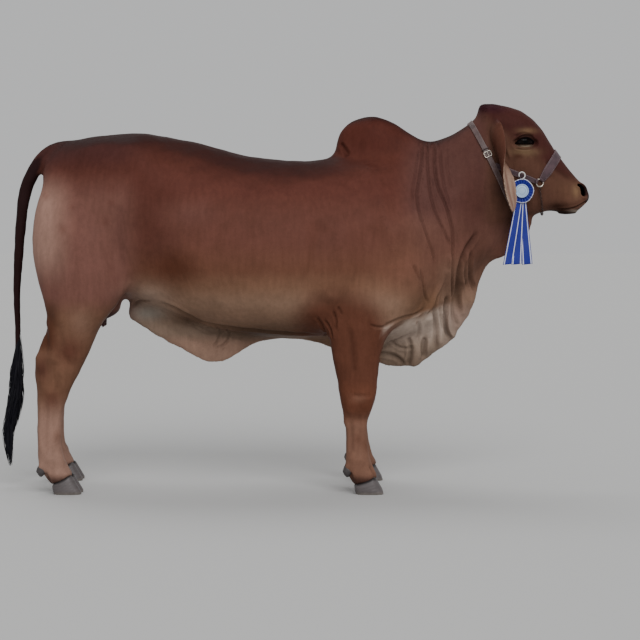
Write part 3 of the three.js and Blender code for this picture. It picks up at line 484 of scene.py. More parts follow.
for side in (-1, 1):
    u, v, w = eye_frame(place, side)
    inside = slit(u, v)
    opening = ease((inside + 0.0006) / 0.0022)
    lid = 0.0034 + 0.0012 * ease((v + 0.008) / 0.01) * ease((0.012 + inside) / 0.008)
    target = ball_depth(u, v) + lid * (1 - opening) - 0.007 * opening
    hold = ease((inside + 0.020) / 0.016) * (np.abs(w) < 0.06)
    move = hold * (target - w)
    place[:, 0] += move * math.sin(LOOK)
    place[:, 1] += move * math.cos(LOOK) * side

# Nostrils: a comma-shaped opening with a thick soft rim, low on the side of the muzzle. The row
# gives the middle line of the opening, which is widest near its lower end.
NOSTRIL = ((1.133, 0.067, 1.206), (1.141, 0.065, 1.203), (1.147, 0.062, 1.195), (1.150, 0.060, 1.184),
           (1.148, 0.060, 1.174))
for side in (-1, 1):
    outward = Vector((0.62, 0.78 * side, 0)).normalized()
    path = np.array([tree.ray_cast(Vector((x, y * side, z)) + outward * 0.2, -outward)[0]
                     for x, y, z in rounded(NOSTRIL)])
    close, away, share = along(path, 0.03)
    wide = np.interp(share, (0, 0.3, 0.65, 1), (0.007, 0.0135, 0.0170, 0.0155))
    inside = wide - away
    hollow = ease((inside + 0.001) / 0.009)
    rim = np.exp(-((inside + 0.006) / 0.0045) ** 2)
    facing = ease(((normal[close] @ np.array(outward)) + 0.1) / 0.4)
    press = (-0.024 * hollow + 0.0030 * rim) * facing
    place[close] += np.array(outward) * press[:, None]
    # Painted shade deep in the hollow of each nostril.
    crease_shade[close] = np.maximum(crease_shade[close], ease((-press - 0.003) / 0.009) * 2)

# The finished skin is thinned to its share of the model's triangles, and keeps its finest faces
# at the eyes, nostrils and mouth.
SKIN_TRIANGLES = 195000
moved(mesh, place)
noted(mesh, "crease_shade", crease_shade)
skin = linked("skin", mesh)
head = ease((place[:, 0] - 0.66) / 0.1) * ease((place[:, 2] - 1.0) / 0.06)
detail = np.zeros(len(place))
for *spot, reach in fine:
    far = np.linalg.norm(np.stack([place[:, 0], np.abs(place[:, 1]), place[:, 2]], 1) - spot, axis=1)
    detail = np.maximum(detail, ease((reach - far) / 0.02))
keep = skin.vertex_groups.new(name="coarse")
levels = np.round((1 - 0.55 * head - 0.4 * detail) * 10).astype(int)
for level in np.unique(levels):
    keep.add(np.where(levels == level)[0].tolist(), float(level) / 10, "REPLACE")
thin = skin.modifiers.new("thin", "DECIMATE")
thin.ratio = SKIN_TRIANGLES / len(mesh.polygons)
thin.vertex_group = "coarse"
thin.vertex_group_factor = 0.0004
mesh = settled(skin)
skin.modifiers.clear()
skin.vertex_groups.clear()
skin.data = mesh
mesh.shade_smooth()
place = read(mesh.vertices, "co", 3)
normal = read(mesh.vertices, "normal", 3)
crease_shade = read(mesh.attributes["crease_shade"].data, "value", 1)[:, 0]
ears = read(mesh.attributes["ear"].data, "value", 1)[:, 0]
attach(skin, "root")
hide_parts(*SOFTENING, "ear_right", "ear_left")


# Colour of the coat: red brown, darkest along the back, on the hump, the crest and the brow, paler
# and greyer in the thin skin of the folds, tan behind the thighs and on the cannons, and pink
# inside the ears. Bare skin shows on the nose, the lids and the inner ears. Shade is painted into
# it as well: in the creases, nostrils and mouth, in the hollow of the flank, on the throat, under
# the belly, mouth and chin, on the udder, and light and shade on the knee.
def shade(*rgb):
    """A colour of the coat given as it is seen, 0 to 255."""
    return (np.array(rgb) / 255) ** 2.2


def blend(below, above, share):
    """One colour drawn towards another, by a share at each point."""
    return below + (above - below) * np.clip(share, 0, 1)[:, None]


def ramp(at, *rows):
    """Colours between the given rows of a place and a colour."""
    colours = np.array([shade(*row[1:]) for row in rows])
    return np.stack([np.interp(at, [row[0] for row in rows], column) for column in colours.T], 1)


def patch(p, x, z, wide, high, soft=1.0):
    """A soft round patch in the side view, from 1 in its middle to 0."""
    return np.exp(-((((p[:, 0] - x) / wide) ** 2 + ((p[:, 2] - z) / high) ** 2) ** soft))


def ear_faces(p, n):
    """How far a point of the ear lies on its inner face, how close it is to the rim, and its place
    across the ear from -1 to 1."""
    t = np.interp(-p[:, 2], -EAR[:, 2], np.arange(len(EAR)))
    at = np.stack([np.interp(t, np.arange(len(EAR)), column) for column in EAR.T], 1)
    side = np.sign(p[:, 1])
    turn = np.radians(at[:, 6])
    inner = ease((n[:, 0] * np.cos(turn) + n[:, 1] * side * np.sin(turn)) / 0.3)
    across = (-np.sin(turn) * (p[:, 0] - at[:, 0]) + np.cos(turn) * (p[:, 1] * side - at[:, 1])) / at[:, 3]
    return inner, ease((np.abs(across) - 0.80) / 0.15), across


def coat_colour(p, n, crease_shade, ears):
    """Colour of the hide at each point, from where it is on the animal: a ramp up the body, then
    one region or mark after another over it, from the rump to the ears, with painted shade among
    them, and painted shade in the creases last."""
    x, y, z = p.T
    up = n[:, 2]
    off = np.abs(y)
    out = ramp(z, (0.66, 122, 96, 80), (0.75, 132, 105, 88), (0.81, 118, 88, 71), (0.87, 101, 69, 56),
               (0.98, 99, 65, 56), (1.08, 93, 60, 52), (1.17, 90, 55, 48), (1.30, 85, 51, 44))

    def tone(share, *rgb):
        """Draws the coat towards a colour."""
        nonlocal out
        out = blend(out, shade(*rgb), share)

    def marks(share, *rows):
        """Soft marks on a region: how strong each is, its colour and where its patch lies."""
        for strength, red, green, blue, *where in rows:
            tone(strength * share * patch(p, *where), red, green, blue)

    # Thigh and rump, flank and shoulder, the dark line of the back, and the hump.
    low = ease((1.28 - z) / 0.16)
    tone(ease((-0.57 - x) / 0.11) * low, 107, 74, 66)
    tone(ease((-0.83 - x) / 0.14) * low * ease((z - 0.78) / 0.18), 142, 111, 99)
    tone(0.8 * ease((-0.50 - x) / 0.2) * ease((z - 1.22) / 0.12), 68, 44, 42)
    # The first two marks are painted shade in the hollow of the flank; the third is pale skin above the navel
    # flap.
    marks(1, (0.7, 82, 49, 37, -0.47, 0.88, 0.10, 0.07, 1.2), (0.6, 78, 47, 41, -0.55, 1.02, 0.07, 0.12),
          (0.85, 142, 120, 106, -0.57, 0.765, 0.08, 0.05))
    out = blend(out, ramp(z, (0.75, 112, 84, 66), (0.82, 110, 80, 66), (0.92, 102, 71, 61),
                          (1.05, 99, 69, 61), (1.12, 88, 60, 55)), ease((x - 0.38) / 0.12))
    # The last of these marks is a painted shadow on the throat under the jaw.
    marks(1, (0.7, 112, 77, 64, 0.42, 0.90, 0.10, 0.12), (0.7, 106, 72, 64, -0.40, 1.09, 0.09, 0.05),
          (0.6, 74, 48, 42, 0.70, 1.15, 0.07, 0.18), (0.8, 52, 33, 27, 0.82, 1.085, 0.07, 0.05))
    for mark_x, mark_z, size in ((-0.893, 1.033, 0.016), (-0.703, 1.137, 0.013), (-0.707, 1.191, 0.018),
                                 (-0.727, 1.060, 0.016), (-0.970, 1.165, 0.013), (-0.86, 1.12, 0.012)):
        marks(1, (0.5, 96, 62, 54, mark_x, mark_z, size, size))
    top = ease((up - 0.5) / 0.45) * ease((z - 1.1) / 0.15)
    top *= 1 - 0.9 * patch(p, 0.33, 1.29, 0.13, 0.06)
    hump = ease((0.25 - np.hypot((x - 0.33) * 0.8, z - 1.49)) / 0.16) * (x < 0.62)
    tone(0.7 * hump, 78, 44, 38)
    tone(0.85 * top * (x < 0.95), 38, 19, 18)

    # Arm, forearm, knee and cannon, then gaskin, hock and hind cannon, and the dark hoof line.
    fore = ease((x + 0.07) / 0.15) * (off > 0.09)
    arm = ease((0.89 - z - 3.0 * (x - 0.17) ** 2) / 0.17) * ease((0.43 - x) / 0.14)
    tone(0.92 * fore * np.maximum(arm, ease((0.68 - z) / 0.05)), 88, 54, 43)
    tone(fore * ease((0.46 - z) / 0.06), 96, 61, 48)
    tone(fore * ease((0.34 - z) / 0.08), 116, 85, 71)
    # Painted light and shade on the knee: a pale patch on its bulge and a dark one below it.
    marks(fore, (0.5, 124, 90, 75, 0.250, 0.375, 0.030, 0.016), (0.5, 78, 49, 38, 0.266, 0.335, 0.022, 0.024))
    hind = ease((-0.5 - x) / 0.1) * (off > 0.09) * ease((0.78 - z) / 0.1)
    tone(hind, 106, 77, 62)
    marks(hind, (0.7, 122, 94, 80, -0.82, 0.68, 0.05, 0.07))
    tone(0.9 * hind * ease((-0.895 - x) / 0.05) * ease((z - 0.54) / 0.05), 78, 50, 39)
    marks(hind, (0.8, 80, 50, 42, -0.87, 0.56, 0.05, 0.05), (0.8, 78, 50, 43, -0.98, 0.49, 0.03, 0.05))
    tone(hind * ease((0.40 - z) / 0.12), 138, 108, 95)
    marks(hind, (0.7, 84, 54, 46, -0.94, 0.37, 0.03, 0.035))
    for mark_x, mark_z in ((-0.92, 0.221), (0.248, 0.215), (0.280, 0.194)):
        marks(1, (0.5, 84, 54, 44, mark_x, mark_z, 0.016, 0.022))
    tone(0.75 * ease((0.085 - z) / 0.03) * (off > 0.09), 62, 44, 40)

    # Thin pale skin of the dewlap, brisket and navel flap, painted shadow and shade under the belly, the
    # udder in painted shade, and tail.
    front = ease((x - 0.54) / 0.06) * ease((0.96 - z) / 0.10) * (x < 0.8)
    out = blend(out, ramp(z, (0.60, 136, 118, 106), (0.69, 134, 112, 101), (0.75, 124, 99, 84),
                          (0.81, 112, 86, 73), (0.90, 106, 79, 67)), 0.9 * front)
    marks(1, (0.8, 84, 59, 50, 0.73, 0.91, 0.04, 0.07))
    brow = 0.662 + 0.32 * (x - 0.34)
    brisket = ease((x - 0.335) / 0.02) * ease((brow - z) / 0.03) * ease((0.66 - x) / 0.12) * (z > 0.4)
    brisket *= 1 - 0.9 * ease((n[:, 0] - 0.3) / 0.35) * ease((off - 0.09) / 0.05)
    out = blend(out, ramp(z, (0.50, 118, 100, 87), (0.57, 140, 122, 108), (0.63, 172, 154, 141)),
                0.95 * brisket)
    flap = ease((0.11 - off) / 0.05) * ease((0.70 - z) / 0.07)
    flap *= ease((0.08 - x) / 0.1) * ease((x + 0.74) / 0.06)
    tone(flap, 136, 115, 100)
    tone(flap * ease((0.62 - z) / 0.05), 150, 120, 104)
    # The second mark here is a painted shadow under the belly's edge; the next line paints shade on the
    # belly's underside where it faces down.
    marks(1, (0.85, 146, 138, 128, -0.585, 0.697, 0.075, 0.032), (0.6, 70, 53, 43, -0.42, 0.672, 0.06, 0.028))
    marks(ease((-up - 0.1) / 0.4), (0.7, 50, 37, 30, -0.15, 0.62, 0.24, 0.045))
    # Painted shade on the udder, as dark as it lies in the shadow under the belly.
    udder_shade = ease((-0.66 - x) / 0.04) * ease((0.135 - off) / 0.05)
    udder_shade *= ease((0.72 - z) / 0.03) * ease((x + 0.82) / 0.06) * (z > 0.55)
    tone(udder_shade, 70, 52, 50)
    marks(ease((0.05 - off) / 0.02), (1, 72, 48, 46, -0.985, 1.12, 0.05, 0.08, 2))
    tail_x = np.interp(z, (0.5, 0.82, 1.06, 1.18, 1.26, 1.30, 1.36),
                       (-1.11, -1.11, -1.093, -1.075, -1.052, -1.01, -0.94))
    tail = ease((0.044 - np.hypot(x - tail_x, y)) / 0.010) * ease((-0.95 - x) / 0.08)
    tone(tail, 44, 31, 31)

    # Face: brow and poll, the pale hair over and under the eye, cheek, muzzle, nose and mouth.
    face = ease((x - 0.72) / 0.07) * ease((z - 1.02) / 0.08)
    tone(face, 88, 62, 52)
    tone(face * ease((0.75 * (x - 0.80) + z - 1.405) / 0.06), 68, 41, 38)
    tone(ease((x - 0.69) / 0.03) * ease((0.88 - x) / 0.10) * ease((z - 1.475) / 0.035), 56, 31, 36)
    marks(face, (0.75, 116, 94, 72, 0.905, 1.335, 0.055, 0.016),
          (0.7, 112, 88, 66, 0.915, 1.418, 0.040, 0.012), (0.7, 66, 40, 34, 0.880, 1.318, 0.020, 0.010),
          (0.7, 64, 38, 32, 0.806, 1.360, 0.010, 0.035), (0.8, 70, 52, 48, 0.85, 1.19, 0.06, 0.03),
          (0.8, 93, 67, 54, 1.09, 1.19, 0.06, 0.05))
    tone(face * ease((0.5 - off / 0.05)) * ease((up - 0.15) / 0.4) * 0.8, 72, 44, 38)
    # The second mark is a painted shadow under the mouth.
    marks(face, (0.7, 122, 96, 72, 1.114, 1.182, 0.016, 0.026), (0.8, 44, 29, 24, 1.045, 1.122, 0.035, 0.014))
    tone(ease((x - 1.135) / 0.02) * ease((z - 1.13) / 0.015) * ease((0.062 - off) / 0.02), 46, 33, 32)
    # Painted shade on the chin below the mouth line.
    tone(face * ease((1.114 - z) / 0.012) * ease((x - 0.99) / 0.04), 38, 26, 22)
    marks(face, (0.8, 136, 124, 112, 1.12, 1.104, 0.03, 0.005))
    for side in (-1, 1):
        u, v, w = eye_frame(p, side)
        close = (np.abs(w) < 0.05) * (side * y > 0.03)
        inside = slit(u, v)
        below = np.exp(-((inside + 0.0080) / 0.004) ** 2) * ease(-v / 0.006) * ease(1.25 - np.abs(u) / 0.034)
        tone(0.7 * close * below, 138, 126, 108)
        tone(0.85 * close * np.exp(-((inside + 0.010) / 0.005) ** 2) * ease(v / 0.006), 46, 32, 28)
        tone(close * ease((inside + 0.0045 + 0.0025 * ease((v + 0.004) / 0.006)) / 0.002), 20, 15, 15)

    # Ears, dark behind and pink inside, with furrows of hair, then painted shade: near black deep in the
    # mouth and nostrils, and darker in every crease.
    inner, rim, across = ear_faces(p, n)
    tone(ears, 86, 56, 47)
    tone(ears * inner * (0.15 + 0.85 * ease((1.33 - z) / 0.12)), 156, 130, 114)
    furrows = (0.5 + 0.5 * np.cos(across * 9 + 1.2 * np.sin(z * 26))) * ease((0.8 - np.abs(across)) / 0.3)
    tone(0.75 * ears * inner * furrows * ease((1.33 - z) / 0.1), 112, 80, 70)
    tone(ears * rim * inner * 0.8 * ease((1.33 - z) / 0.08), 190, 166, 146)
    marks(ears * (1 - inner), (0.4, 72, 45, 38, 0.775, 1.36, 0.012, 0.09))
    # Painted shade, near black, deep in the nostrils and the mouth line; then painted shade in every crease.
    tone(ease((crease_shade - 0.6) / 0.8) * face * ease((x - 1.09) / 0.02), 10, 7, 7)
    return out * (1 - (0.42 + 0.06 * front) * np.clip(crease_shade, 0, 1))[:, None]


def bareness(p, n, ears):
    """Share of bare or thinly haired skin."""
    x, y, z = p.T
    off = np.abs(y)
    nose = ease((x - 1.13) / 0.02) * ease((z - 1.12) / 0.02) * ease((0.066 - off) / 0.02)
    folds = ease((0.09 - off) / 0.04) * ease((0.80 - z) / 0.1) * 0.6
    return np.clip(nose + folds * (z > 0.45) + ears * ear_faces(p, n)[0] * 0.5, 0, 1)


def painted(mesh, name, values):
    """A colour for every vertex, kept in the mesh under that name."""
    layer = mesh.color_attributes.new(name, "FLOAT_COLOR", "POINT")
    rgba = np.concatenate([values, np.ones((len(values), 1))], 1)
    layer.data.foreach_set("color", rgba.astype(np.float32).ravel())


def node(nodes, kind, inputs=(), **settings):
    """A shader node with its settings, and its inputs set or linked by name."""
    made = nodes.nodes.new(kind)
    for key, value in settings.items():
        setattr(made, key, value)
    for key, value in dict(inputs).items():
        if isinstance(value, bpy.types.NodeSocket):
            nodes.links.new(value, made.inputs[key])
        else:
            made.inputs[key].default_value = value
    return made


def finish(name, **constants):
    """A new material: its node tree, its shader, and the place on the piece."""
    made = bpy.data.materials.new(name)
    made.use_nodes = True
    shader = made.node_tree.nodes["Principled BSDF"]
    for key, value in constants.items():
        shader.inputs[key.replace("_", " ")].default_value = value
    return made, made.node_tree, shader, node(made.node_tree, "ShaderNodeTexCoord").outputs["Object"]


def feed(nodes, shader, **sockets):
    """Links sockets to the shader's inputs of those names."""
    for key, socket in sockets.items():
        nodes.links.new(socket, shader.inputs[key.replace("_", " ")])


def noted_as(nodes, name, output):
    """What the piece keeps at its points under that name."""
    return node(nodes, "ShaderNodeAttribute", attribute_name=name).outputs[output]


def noise(nodes, where, size, detail=3, stretch=(1, 1, 1), turn=(0, 0, 0)):
    """Cloudy noise with a grain of that many per metre, stretched and turned."""
    at = node(nodes, "ShaderNodeMapping", {"Vector": where, "Scale": stretch, "Rotation": turn})
    return node(nodes, "ShaderNodeTexNoise", {"Vector": at.outputs["Vector"], "Scale": size,
                                              "Detail": detail}).outputs["Fac"]


def cells(nodes, where, size, **more):
    """Distance from the middle of small cells, that many per metre."""
    return node(nodes, "ShaderNodeTexVoronoi", {"Vector": where, "Scale": size, **more}).outputs["Distance"]


def sums(nodes, *terms, start=0.0):
    """Weighted sum of sockets: (socket, weight) pairs over a starting value."""
    total = start
    for socket, weight in terms:
        added = node(nodes, "ShaderNodeMath", {0: socket, 1: weight, 2: total}, operation="MULTIPLY_ADD")
        total = added.outputs[0]
    return total


def scaled(nodes, colour, amount):
    """A colour made lighter or darker."""
    return node(nodes, "ShaderNodeVectorMath", {0: colour, "Scale": amount}, operation="SCALE").outputs[0]


def mixed(nodes, share, a, b):
    """A value between two others."""
    return node(nodes, "ShaderNodeMix", {"Factor": share, "A": a, "B": b}).outputs["Result"]


def bumped(nodes, height, strength, distance):
    """A relief in the surface, from its height."""
    return node(nodes, "ShaderNodeBump", {"Height": height, "Strength": strength,
                                          "Distance": distance}).outputs["Normal"]


tint = coat_colour(place, normal, crease_shade, ears)
bare = bareness(place, normal, ears)
hanging = np.maximum(ease((0.78 - place[:, 2]) / 0.1), ease((place[:, 0] - 0.40) / 0.1) * (place[:, 0] < 0.8))
painted(mesh, "tint", tint)
painted(mesh, "kind", np.stack([bare, hanging, ears], 1))
coat, nodes, shader, where = finish("short red coat", Roughness=0.5, Specular_IOR_Level=0.02)
kind = node(nodes, "ShaderNodeSeparateColor", {"Color": noted_as(nodes, "kind", "Color")}).outputs
back = noise(nodes, where, 1, 3, (190, 420, 700), (0, math.radians(35), 0))
down = noise(nodes, where, 1, 3, (520, 420, 150))
hairs = mixed(nodes, kind["Green"], back, down)
streaks = noise(nodes, where, 1, 4, (62, 62, 11))
mottle = noise(nodes, where, 8, 4)
grain = noise(nodes, where, 60, 4)
amount = sums(nodes, (hairs, 0.42), (streaks, 0.38), (mottle, 0.46), (grain, 0.22), start=0.26)
wrinkles = noise(nodes, where, 1, 3, (110, 160, 45))
skin_bump = sums(nodes, (cells(nodes, where, 330, Randomness=0.9), 0.5), (wrinkles, 0.9))
height = mixed(nodes, kind["Red"], sums(nodes, (hairs, 0.7), (streaks, 0.5)), skin_bump)
feed(nodes, shader, Base_Color=scaled(nodes, noted_as(nodes, "tint", "Color"), amount),
     Normal=bumped(nodes, height, 0.55, 0.0016),
     Roughness=sums(nodes, (kind["Red"], -0.08), (mottle, 0.14), (grain, 0.08), start=0.34))
mesh.materials.clear()
mesh.materials.append(coat)

# Longer hair where it breaks the smooth coat: a dark tuft on the poll, fringes on the ear rims and
# inside the ears, short hair along the crest, hump, back, dewlap, thighs and legs, and a fringe
# over each hoof. Fine locks grow from the skin, lie along it and carry its colour.
def piece(name, mesh, material, slot):
    """A finished mesh as a piece of the model: smooth, in its material, on the body."""
    mesh.shade_smooth()
    mesh.materials.append(material)
    made = linked(name, mesh)
    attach(made, "root")
    return made


def strands(name, material, slot, path, facing, wide, deep, roots, sides=5):
    """Closed tapering locks in one mesh. A lock follows its row of points, with its flat side
    turned to facing and its half width and half depth given at every point."""
    steps = path.shape[1]
    pattern = bmesh.new()
    bmesh.ops.create_uvsphere(pattern, u_segments=sides, v_segments=steps - 1, radius=1)
    step = np.array([round(math.acos(max(-1, min(1, v.co.z))) / math.pi * (steps - 1))
                     for v in pattern.verts])
    cross = np.array([v.co.xy.normalized() if v.co.xy.length > 1e-4 else (0, 0) for v in pattern.verts])
    lock = as_mesh("lock", pattern)
    joined = bmesh.new()
    for _ in path:
        joined.from_mesh(lock)
    mesh = as_mesh(name, joined)
    run = np.gradient(path, axis=1)
    run /= np.linalg.norm(run, axis=2, keepdims=True)
    flat = np.cross(run, facing[:, None])
    flat /= np.linalg.norm(flat, axis=2, keepdims=True) + 1e-9
    up = np.cross(flat, run)
    moved(mesh, path[:, step] + flat[:, step] * (wide[:, step] * cross[:, 0])[..., None]
          + up[:, step] * (deep[:, step] * cross[:, 1])[..., None])
    offset = np.stack([cross[:, 0], step / (steps - 1) * 2 - 1], 1) * 0.0015
    flat_map = (roots[:, None] + offset[None]).reshape(-1, 2)
    corner = read(mesh.loops, "vertex_index", 1, int)[:, 0]
    mesh.uv_layers.new(name="OFBake").data.foreach_set("uv", flat_map[corner].astype(np.float32).ravel())
    return piece(name, mesh, material, slot)


def unwrap(p, n):
    """Place of skin points on a flat map of the skin: one sheet for each way it faces, on each
    side of the middle and at each end, side by side."""
    axis = np.abs(n).argmax(1)
    sheet = axis * 8 + (n[np.arange(len(n)), axis] > 0) * 4 + (p[:, 1] > 0) * 2 + (p[:, 0] > -0.35)
    u = np.where(axis == 0, p[:, 1] + 0.36, np.where(p[:, 0] > -0.35, p[:, 0] + 0.35, p[:, 0] + 1.18))
    v = np.where(axis == 2, p[:, 1] + 0.36, p[:, 2])
    return np.stack([(sheet % 5 + 0.02 + u / 1.62) / 5, (sheet // 5 + 0.02 + v / 1.62) / 5], 1)


hair, nodes, shader, where = finish("coat hair", Roughness=0.5, Specular_IOR_Level=0.02)
amount = sums(nodes, (noise(nodes, where, 700), 0.6), start=0.7)
feed(nodes, shader, Base_Color=scaled(nodes, noted_as(nodes, "tint", "Color"), amount),
     Roughness=sums(nodes, (noise(nodes, where, 300), 0.2), start=0.4))
loops = read(mesh.polygons, "vertices", 3, int)
corners = place[loops]
face_size = np.linalg.norm(np.cross(corners[:, 1] - corners[:, 0], corners[:, 2] - corners[:, 0]), axis=1) / 2
middle = corners.mean(1)
face_normal = normal[loops].mean(1)
face_ear = ears[loops].mean(1)
chance = np.random.default_rng(11)


def coat_hair(name, weight, count, direction, length, wide, rise, bend):
    """Short locks from random places of the skin, more of them where the weight is higher, each
    lying along the skin in its direction, bent from it at random and lifted a little."""
    count = int(count * (1))
    share = face_size * weight
    face = chance.choice(len(share), count, p=share / share.sum())
    a, b = np.sort(chance.uniform(0, 1, (2, count)), axis=0)
    root = (corners[face] * np.stack([a, b - a, 1 - b], 1)[..., None]).sum(1)
    n = face_normal[face] / np.linalg.norm(face_normal[face], axis=1, keepdims=True)
    way = direction(root) + chance.normal(0, bend, (count, 3))
    way -= n * (way * n).sum(1)[:, None]
    way /= np.linalg.norm(way, axis=1, keepdims=True) + 1e-9
    size = (length * chance.uniform(0.6, 1.15, count))[:, None, None]
    t = np.linspace(0, 1, 5)[None, :, None]
    height = rise * chance.uniform(0.5, 1.5, (count, 1, 1))
    path = (root[:, None] + way[:, None] * size * t
            + n[:, None] * (size * height * t * (1.35 - 0.7 * t) - 0.0008))
    swell = np.array([0.6, 1, 0.8, 0.45, 0.1])[None] * wide * chance.uniform(0.7, 1.3, count)[:, None]
    made = strands(name, hair, "coat", path, n, swell, swell * 0.35, unwrap(root, n), sides=3)
    colour = tint[loops[face]].mean(1) * chance.uniform(0.78, 1.18, count)[:, None]
    painted(made.data, "tint", np.repeat(colour, len(made.data.vertices) // count, 0))


def backwards(p):
    """The lie of the coat: back and down over the body, straight down the neck and the legs."""
    hang = np.maximum(ease((0.78 - p[:, 2]) / 0.1), ease((p[:, 0] - 0.40) / 0.1) * (p[:, 0] < 0.75))[:, None]
    head = (ease((p[:, 0] - 0.75) / 0.05) * ease((p[:, 2] - 1.03) / 0.05))[:, None]
    body = np.array((-0.85, 0, -0.5)) * (1 - hang) + np.array((-0.15, 0, -1.0)) * hang
    return body * (1 - head) + np.array((-0.8, 0, -0.35)) * head


def forwards(p):
    """The lie of the tuft on the poll, out over the forehead."""
    return np.array((0.9, 0, 0.1)) + 0 * p


def over_hoof(p):
    """The lie of the fringe over a hoof, down and a little forwards."""
    return np.array((0.15, 0, -1)) + 0 * p


def ear_way(p):
    """The lie of the hair on an ear, down towards its tip."""
    return np.stack([np.full(len(p), 0.25), np.sign(p[:, 1]) * 0.05, np.full(len(p), -1.0)], 1)


x, y, z = middle.T
off = np.abs(y)
inner, rim, across = ear_faces(middle, face_normal)
poll = (ease((z - 1.45) / 0.07) * ease((x - 0.69) / 0.04) * ease((0.91 - x) / 0.15)) ** 1.5 * (1 - face_ear)
fringe = face_ear * (0.25 + 1.2 * rim + 0.2 * inner)
crest = ease((face_normal[:, 2] - 0.35) / 0.3) * ease((z - 1.2) / 0.1) * (x < 0.86) * (1 - face_ear)
trunk = (z > 0.5) * (1 - face_ear) * ease((0.86 - x) / 0.1) * (x > -0.99)
below = ease((0.80 - z) / 0.05) * ease((0.12 - off) / 0.05) * (z > 0.45) * (x > -0.8)
legs = (z < 0.62) * (off > 0.08)
fetlock = ease((0.10 - z) / 0.03) * (off > 0.08)
cheeks = ease((x - 0.80) / 0.05) * ease((z - 1.06) / 0.03) * (1 - face_ear)
cheeks = cheeks * (bareness(middle, face_normal, face_ear) < 0.3)
for side in (-1, 1):
    u, v, w = eye_frame(middle, side)
    cheeks = cheeks * ~((slit(u, v) > -0.008) & (np.abs(w) < 0.04))
for name, weight, count, direction, length, wide, rise, bend in (
        ("poll_hair", poll, 6500, forwards, 0.010, 0.0004, 0.10, 0.20),
        ("ear_hair", fringe, 9500, ear_way, 0.008, 0.0003, 0.14, 0.20),
        ("crest_hair", crest, 9500, backwards, 0.011, 0.0005, 0.08, 0.25),
        ("body_hair_front", trunk * (x > 0.0), 10500, backwards, 0.012, 0.0006, 0.06, 0.25),
        ("body_hair_rear", trunk * (x <= 0.0), 10500, backwards, 0.012, 0.0006, 0.06, 0.25),
        ("fold_hair", below, 8500, backwards, 0.010, 0.00045, 0.12, 0.25),
        ("leg_hair", legs, 10500, backwards, 0.009, 0.0005, 0.08, 0.25),
        ("hoof_fringe", fetlock, 8500, over_hoof, 0.009, 0.0004, 0.07, 0.12),
        ("face_hair", cheeks, 9000, backwards, 0.006, 0.00035, 0.07, 0.25)):
    coat_hair(name, weight, count, direction, length, wide, rise, bend)

# Eyeballs: dark brown with a level black pupil, wet and glossy, deep between the lids. Lashes curve
# out from the upper lid, of the same black hair as the tail switch.
IRIS = 0.0185
LASHES = 58


def two_tone(nodes, share, dark, light):
    """A colour between two."""
    return node(nodes, "ShaderNodeMix", {"Factor": share, "A": (*dark, 1), "B": (*light, 1)},
                data_type="RGBA").outputs["Result"]


wet, nodes, shader, where = finish("wet dark eye", Roughness=0.08, Specular_IOR_Level=0.08)
amount = sums(nodes, (noise(nodes, where, 900), 1.0), start=0.5)
feed(nodes, shader, Base_Color=scaled(nodes, noted_as(nodes, "tint", "Color"), amount))
black, nodes, shader, where = finish("black switch hair", Roughness=0.4, Specular_IOR_Level=0.15)
lines = noise(nodes, where, 1, 3, (900, 900, 22))
feed(nodes, shader, Base_Color=two_tone(nodes, lines, (0.002, 0.002, 0.004), (0.010, 0.009, 0.014)),
     Roughness=sums(nodes, (lines, 0.3), (noise(nodes, where, 14, 2), 0.2), start=0.2),
     Normal=bumped(nodes, lines, 0.6, 0.001))
lash = []
for side, hand in ((-1, "right"), (1, "left")):
    shape = bmesh.new()
    bmesh.ops.create_uvsphere(shape, u_segments=48, v_segments=32, radius=1)
    turn = Matrix.Translation((EYE[0], EYE[1] * side, EYE[2])) @ Matrix.Rotation(-LOOK * side, 4, "Z")
    bmesh.ops.transform(shape, matrix=turn @ Matrix.Diagonal((*BALL, 1)), verts=shape.verts)
    eyeball = piece(f"eyeball_{hand}", as_mesh(f"eyeball_{hand}", shape), wet, "eye")
    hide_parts(f"eye_{hand}")
    u, v, w = eye_frame(read(eyeball.data.vertices, "co", 3), side)
    far = np.hypot(u, v + 0.002)
    iris = np.repeat(shade(30, 24, 24)[None], len(u), 0)
    iris = blend(iris, shade(24, 17, 14), ease((IRIS - far) / 0.002))
    iris = blend(iris, shade(8, 7, 10), ease((0.012 - np.hypot(u, (v + 0.002) * 1.9)) / 0.002))
    iris = blend(iris, shade(16, 12, 12), np.exp(-((far - IRIS) / 0.0015) ** 2))
    painted(eyeball.data, "tint", iris)
    for i in range(LASHES):
        u = -0.031 + 0.062 * i / (LASHES - 1) + chance.normal(0, 0.0006)
        v = LID_LINE + LID_ARCH * (1 - (u / CORNER) ** 2) ** 0.8 + 0.0010
        w = float(ball_depth(u, v)) + 0.0028
        size = chance.uniform(0.009, 0.014)
        t = np.linspace(0, 1, 5)
        fan = u * (1 + 0.25 * t)
        reach = w + size * 0.95 * t
        lash.append(np.stack([EYE[0] + fan * math.cos(LOOK) + reach * math.sin(LOOK),
                              side * (EYE[1] - fan * math.sin(LOOK) + reach * math.cos(LOOK)),
                              EYE[2] + v - size * (0.65 * t - 0.45 * t * t)], 1))
lash = np.array(lash)
thin = np.repeat([[0.00035, 0.0004, 0.0003, 0.0002, 0.00005]], len(lash), 0)
outwards = np.sign(lash[:, 0]) * (0, 1, 0)
strands("lashes", black, "switch", lash, np.repeat([[0.2, 0.1, 1.0]], len(lash), 0), thin, thin,
        unwrap(lash[:, 0], outwards), 4)

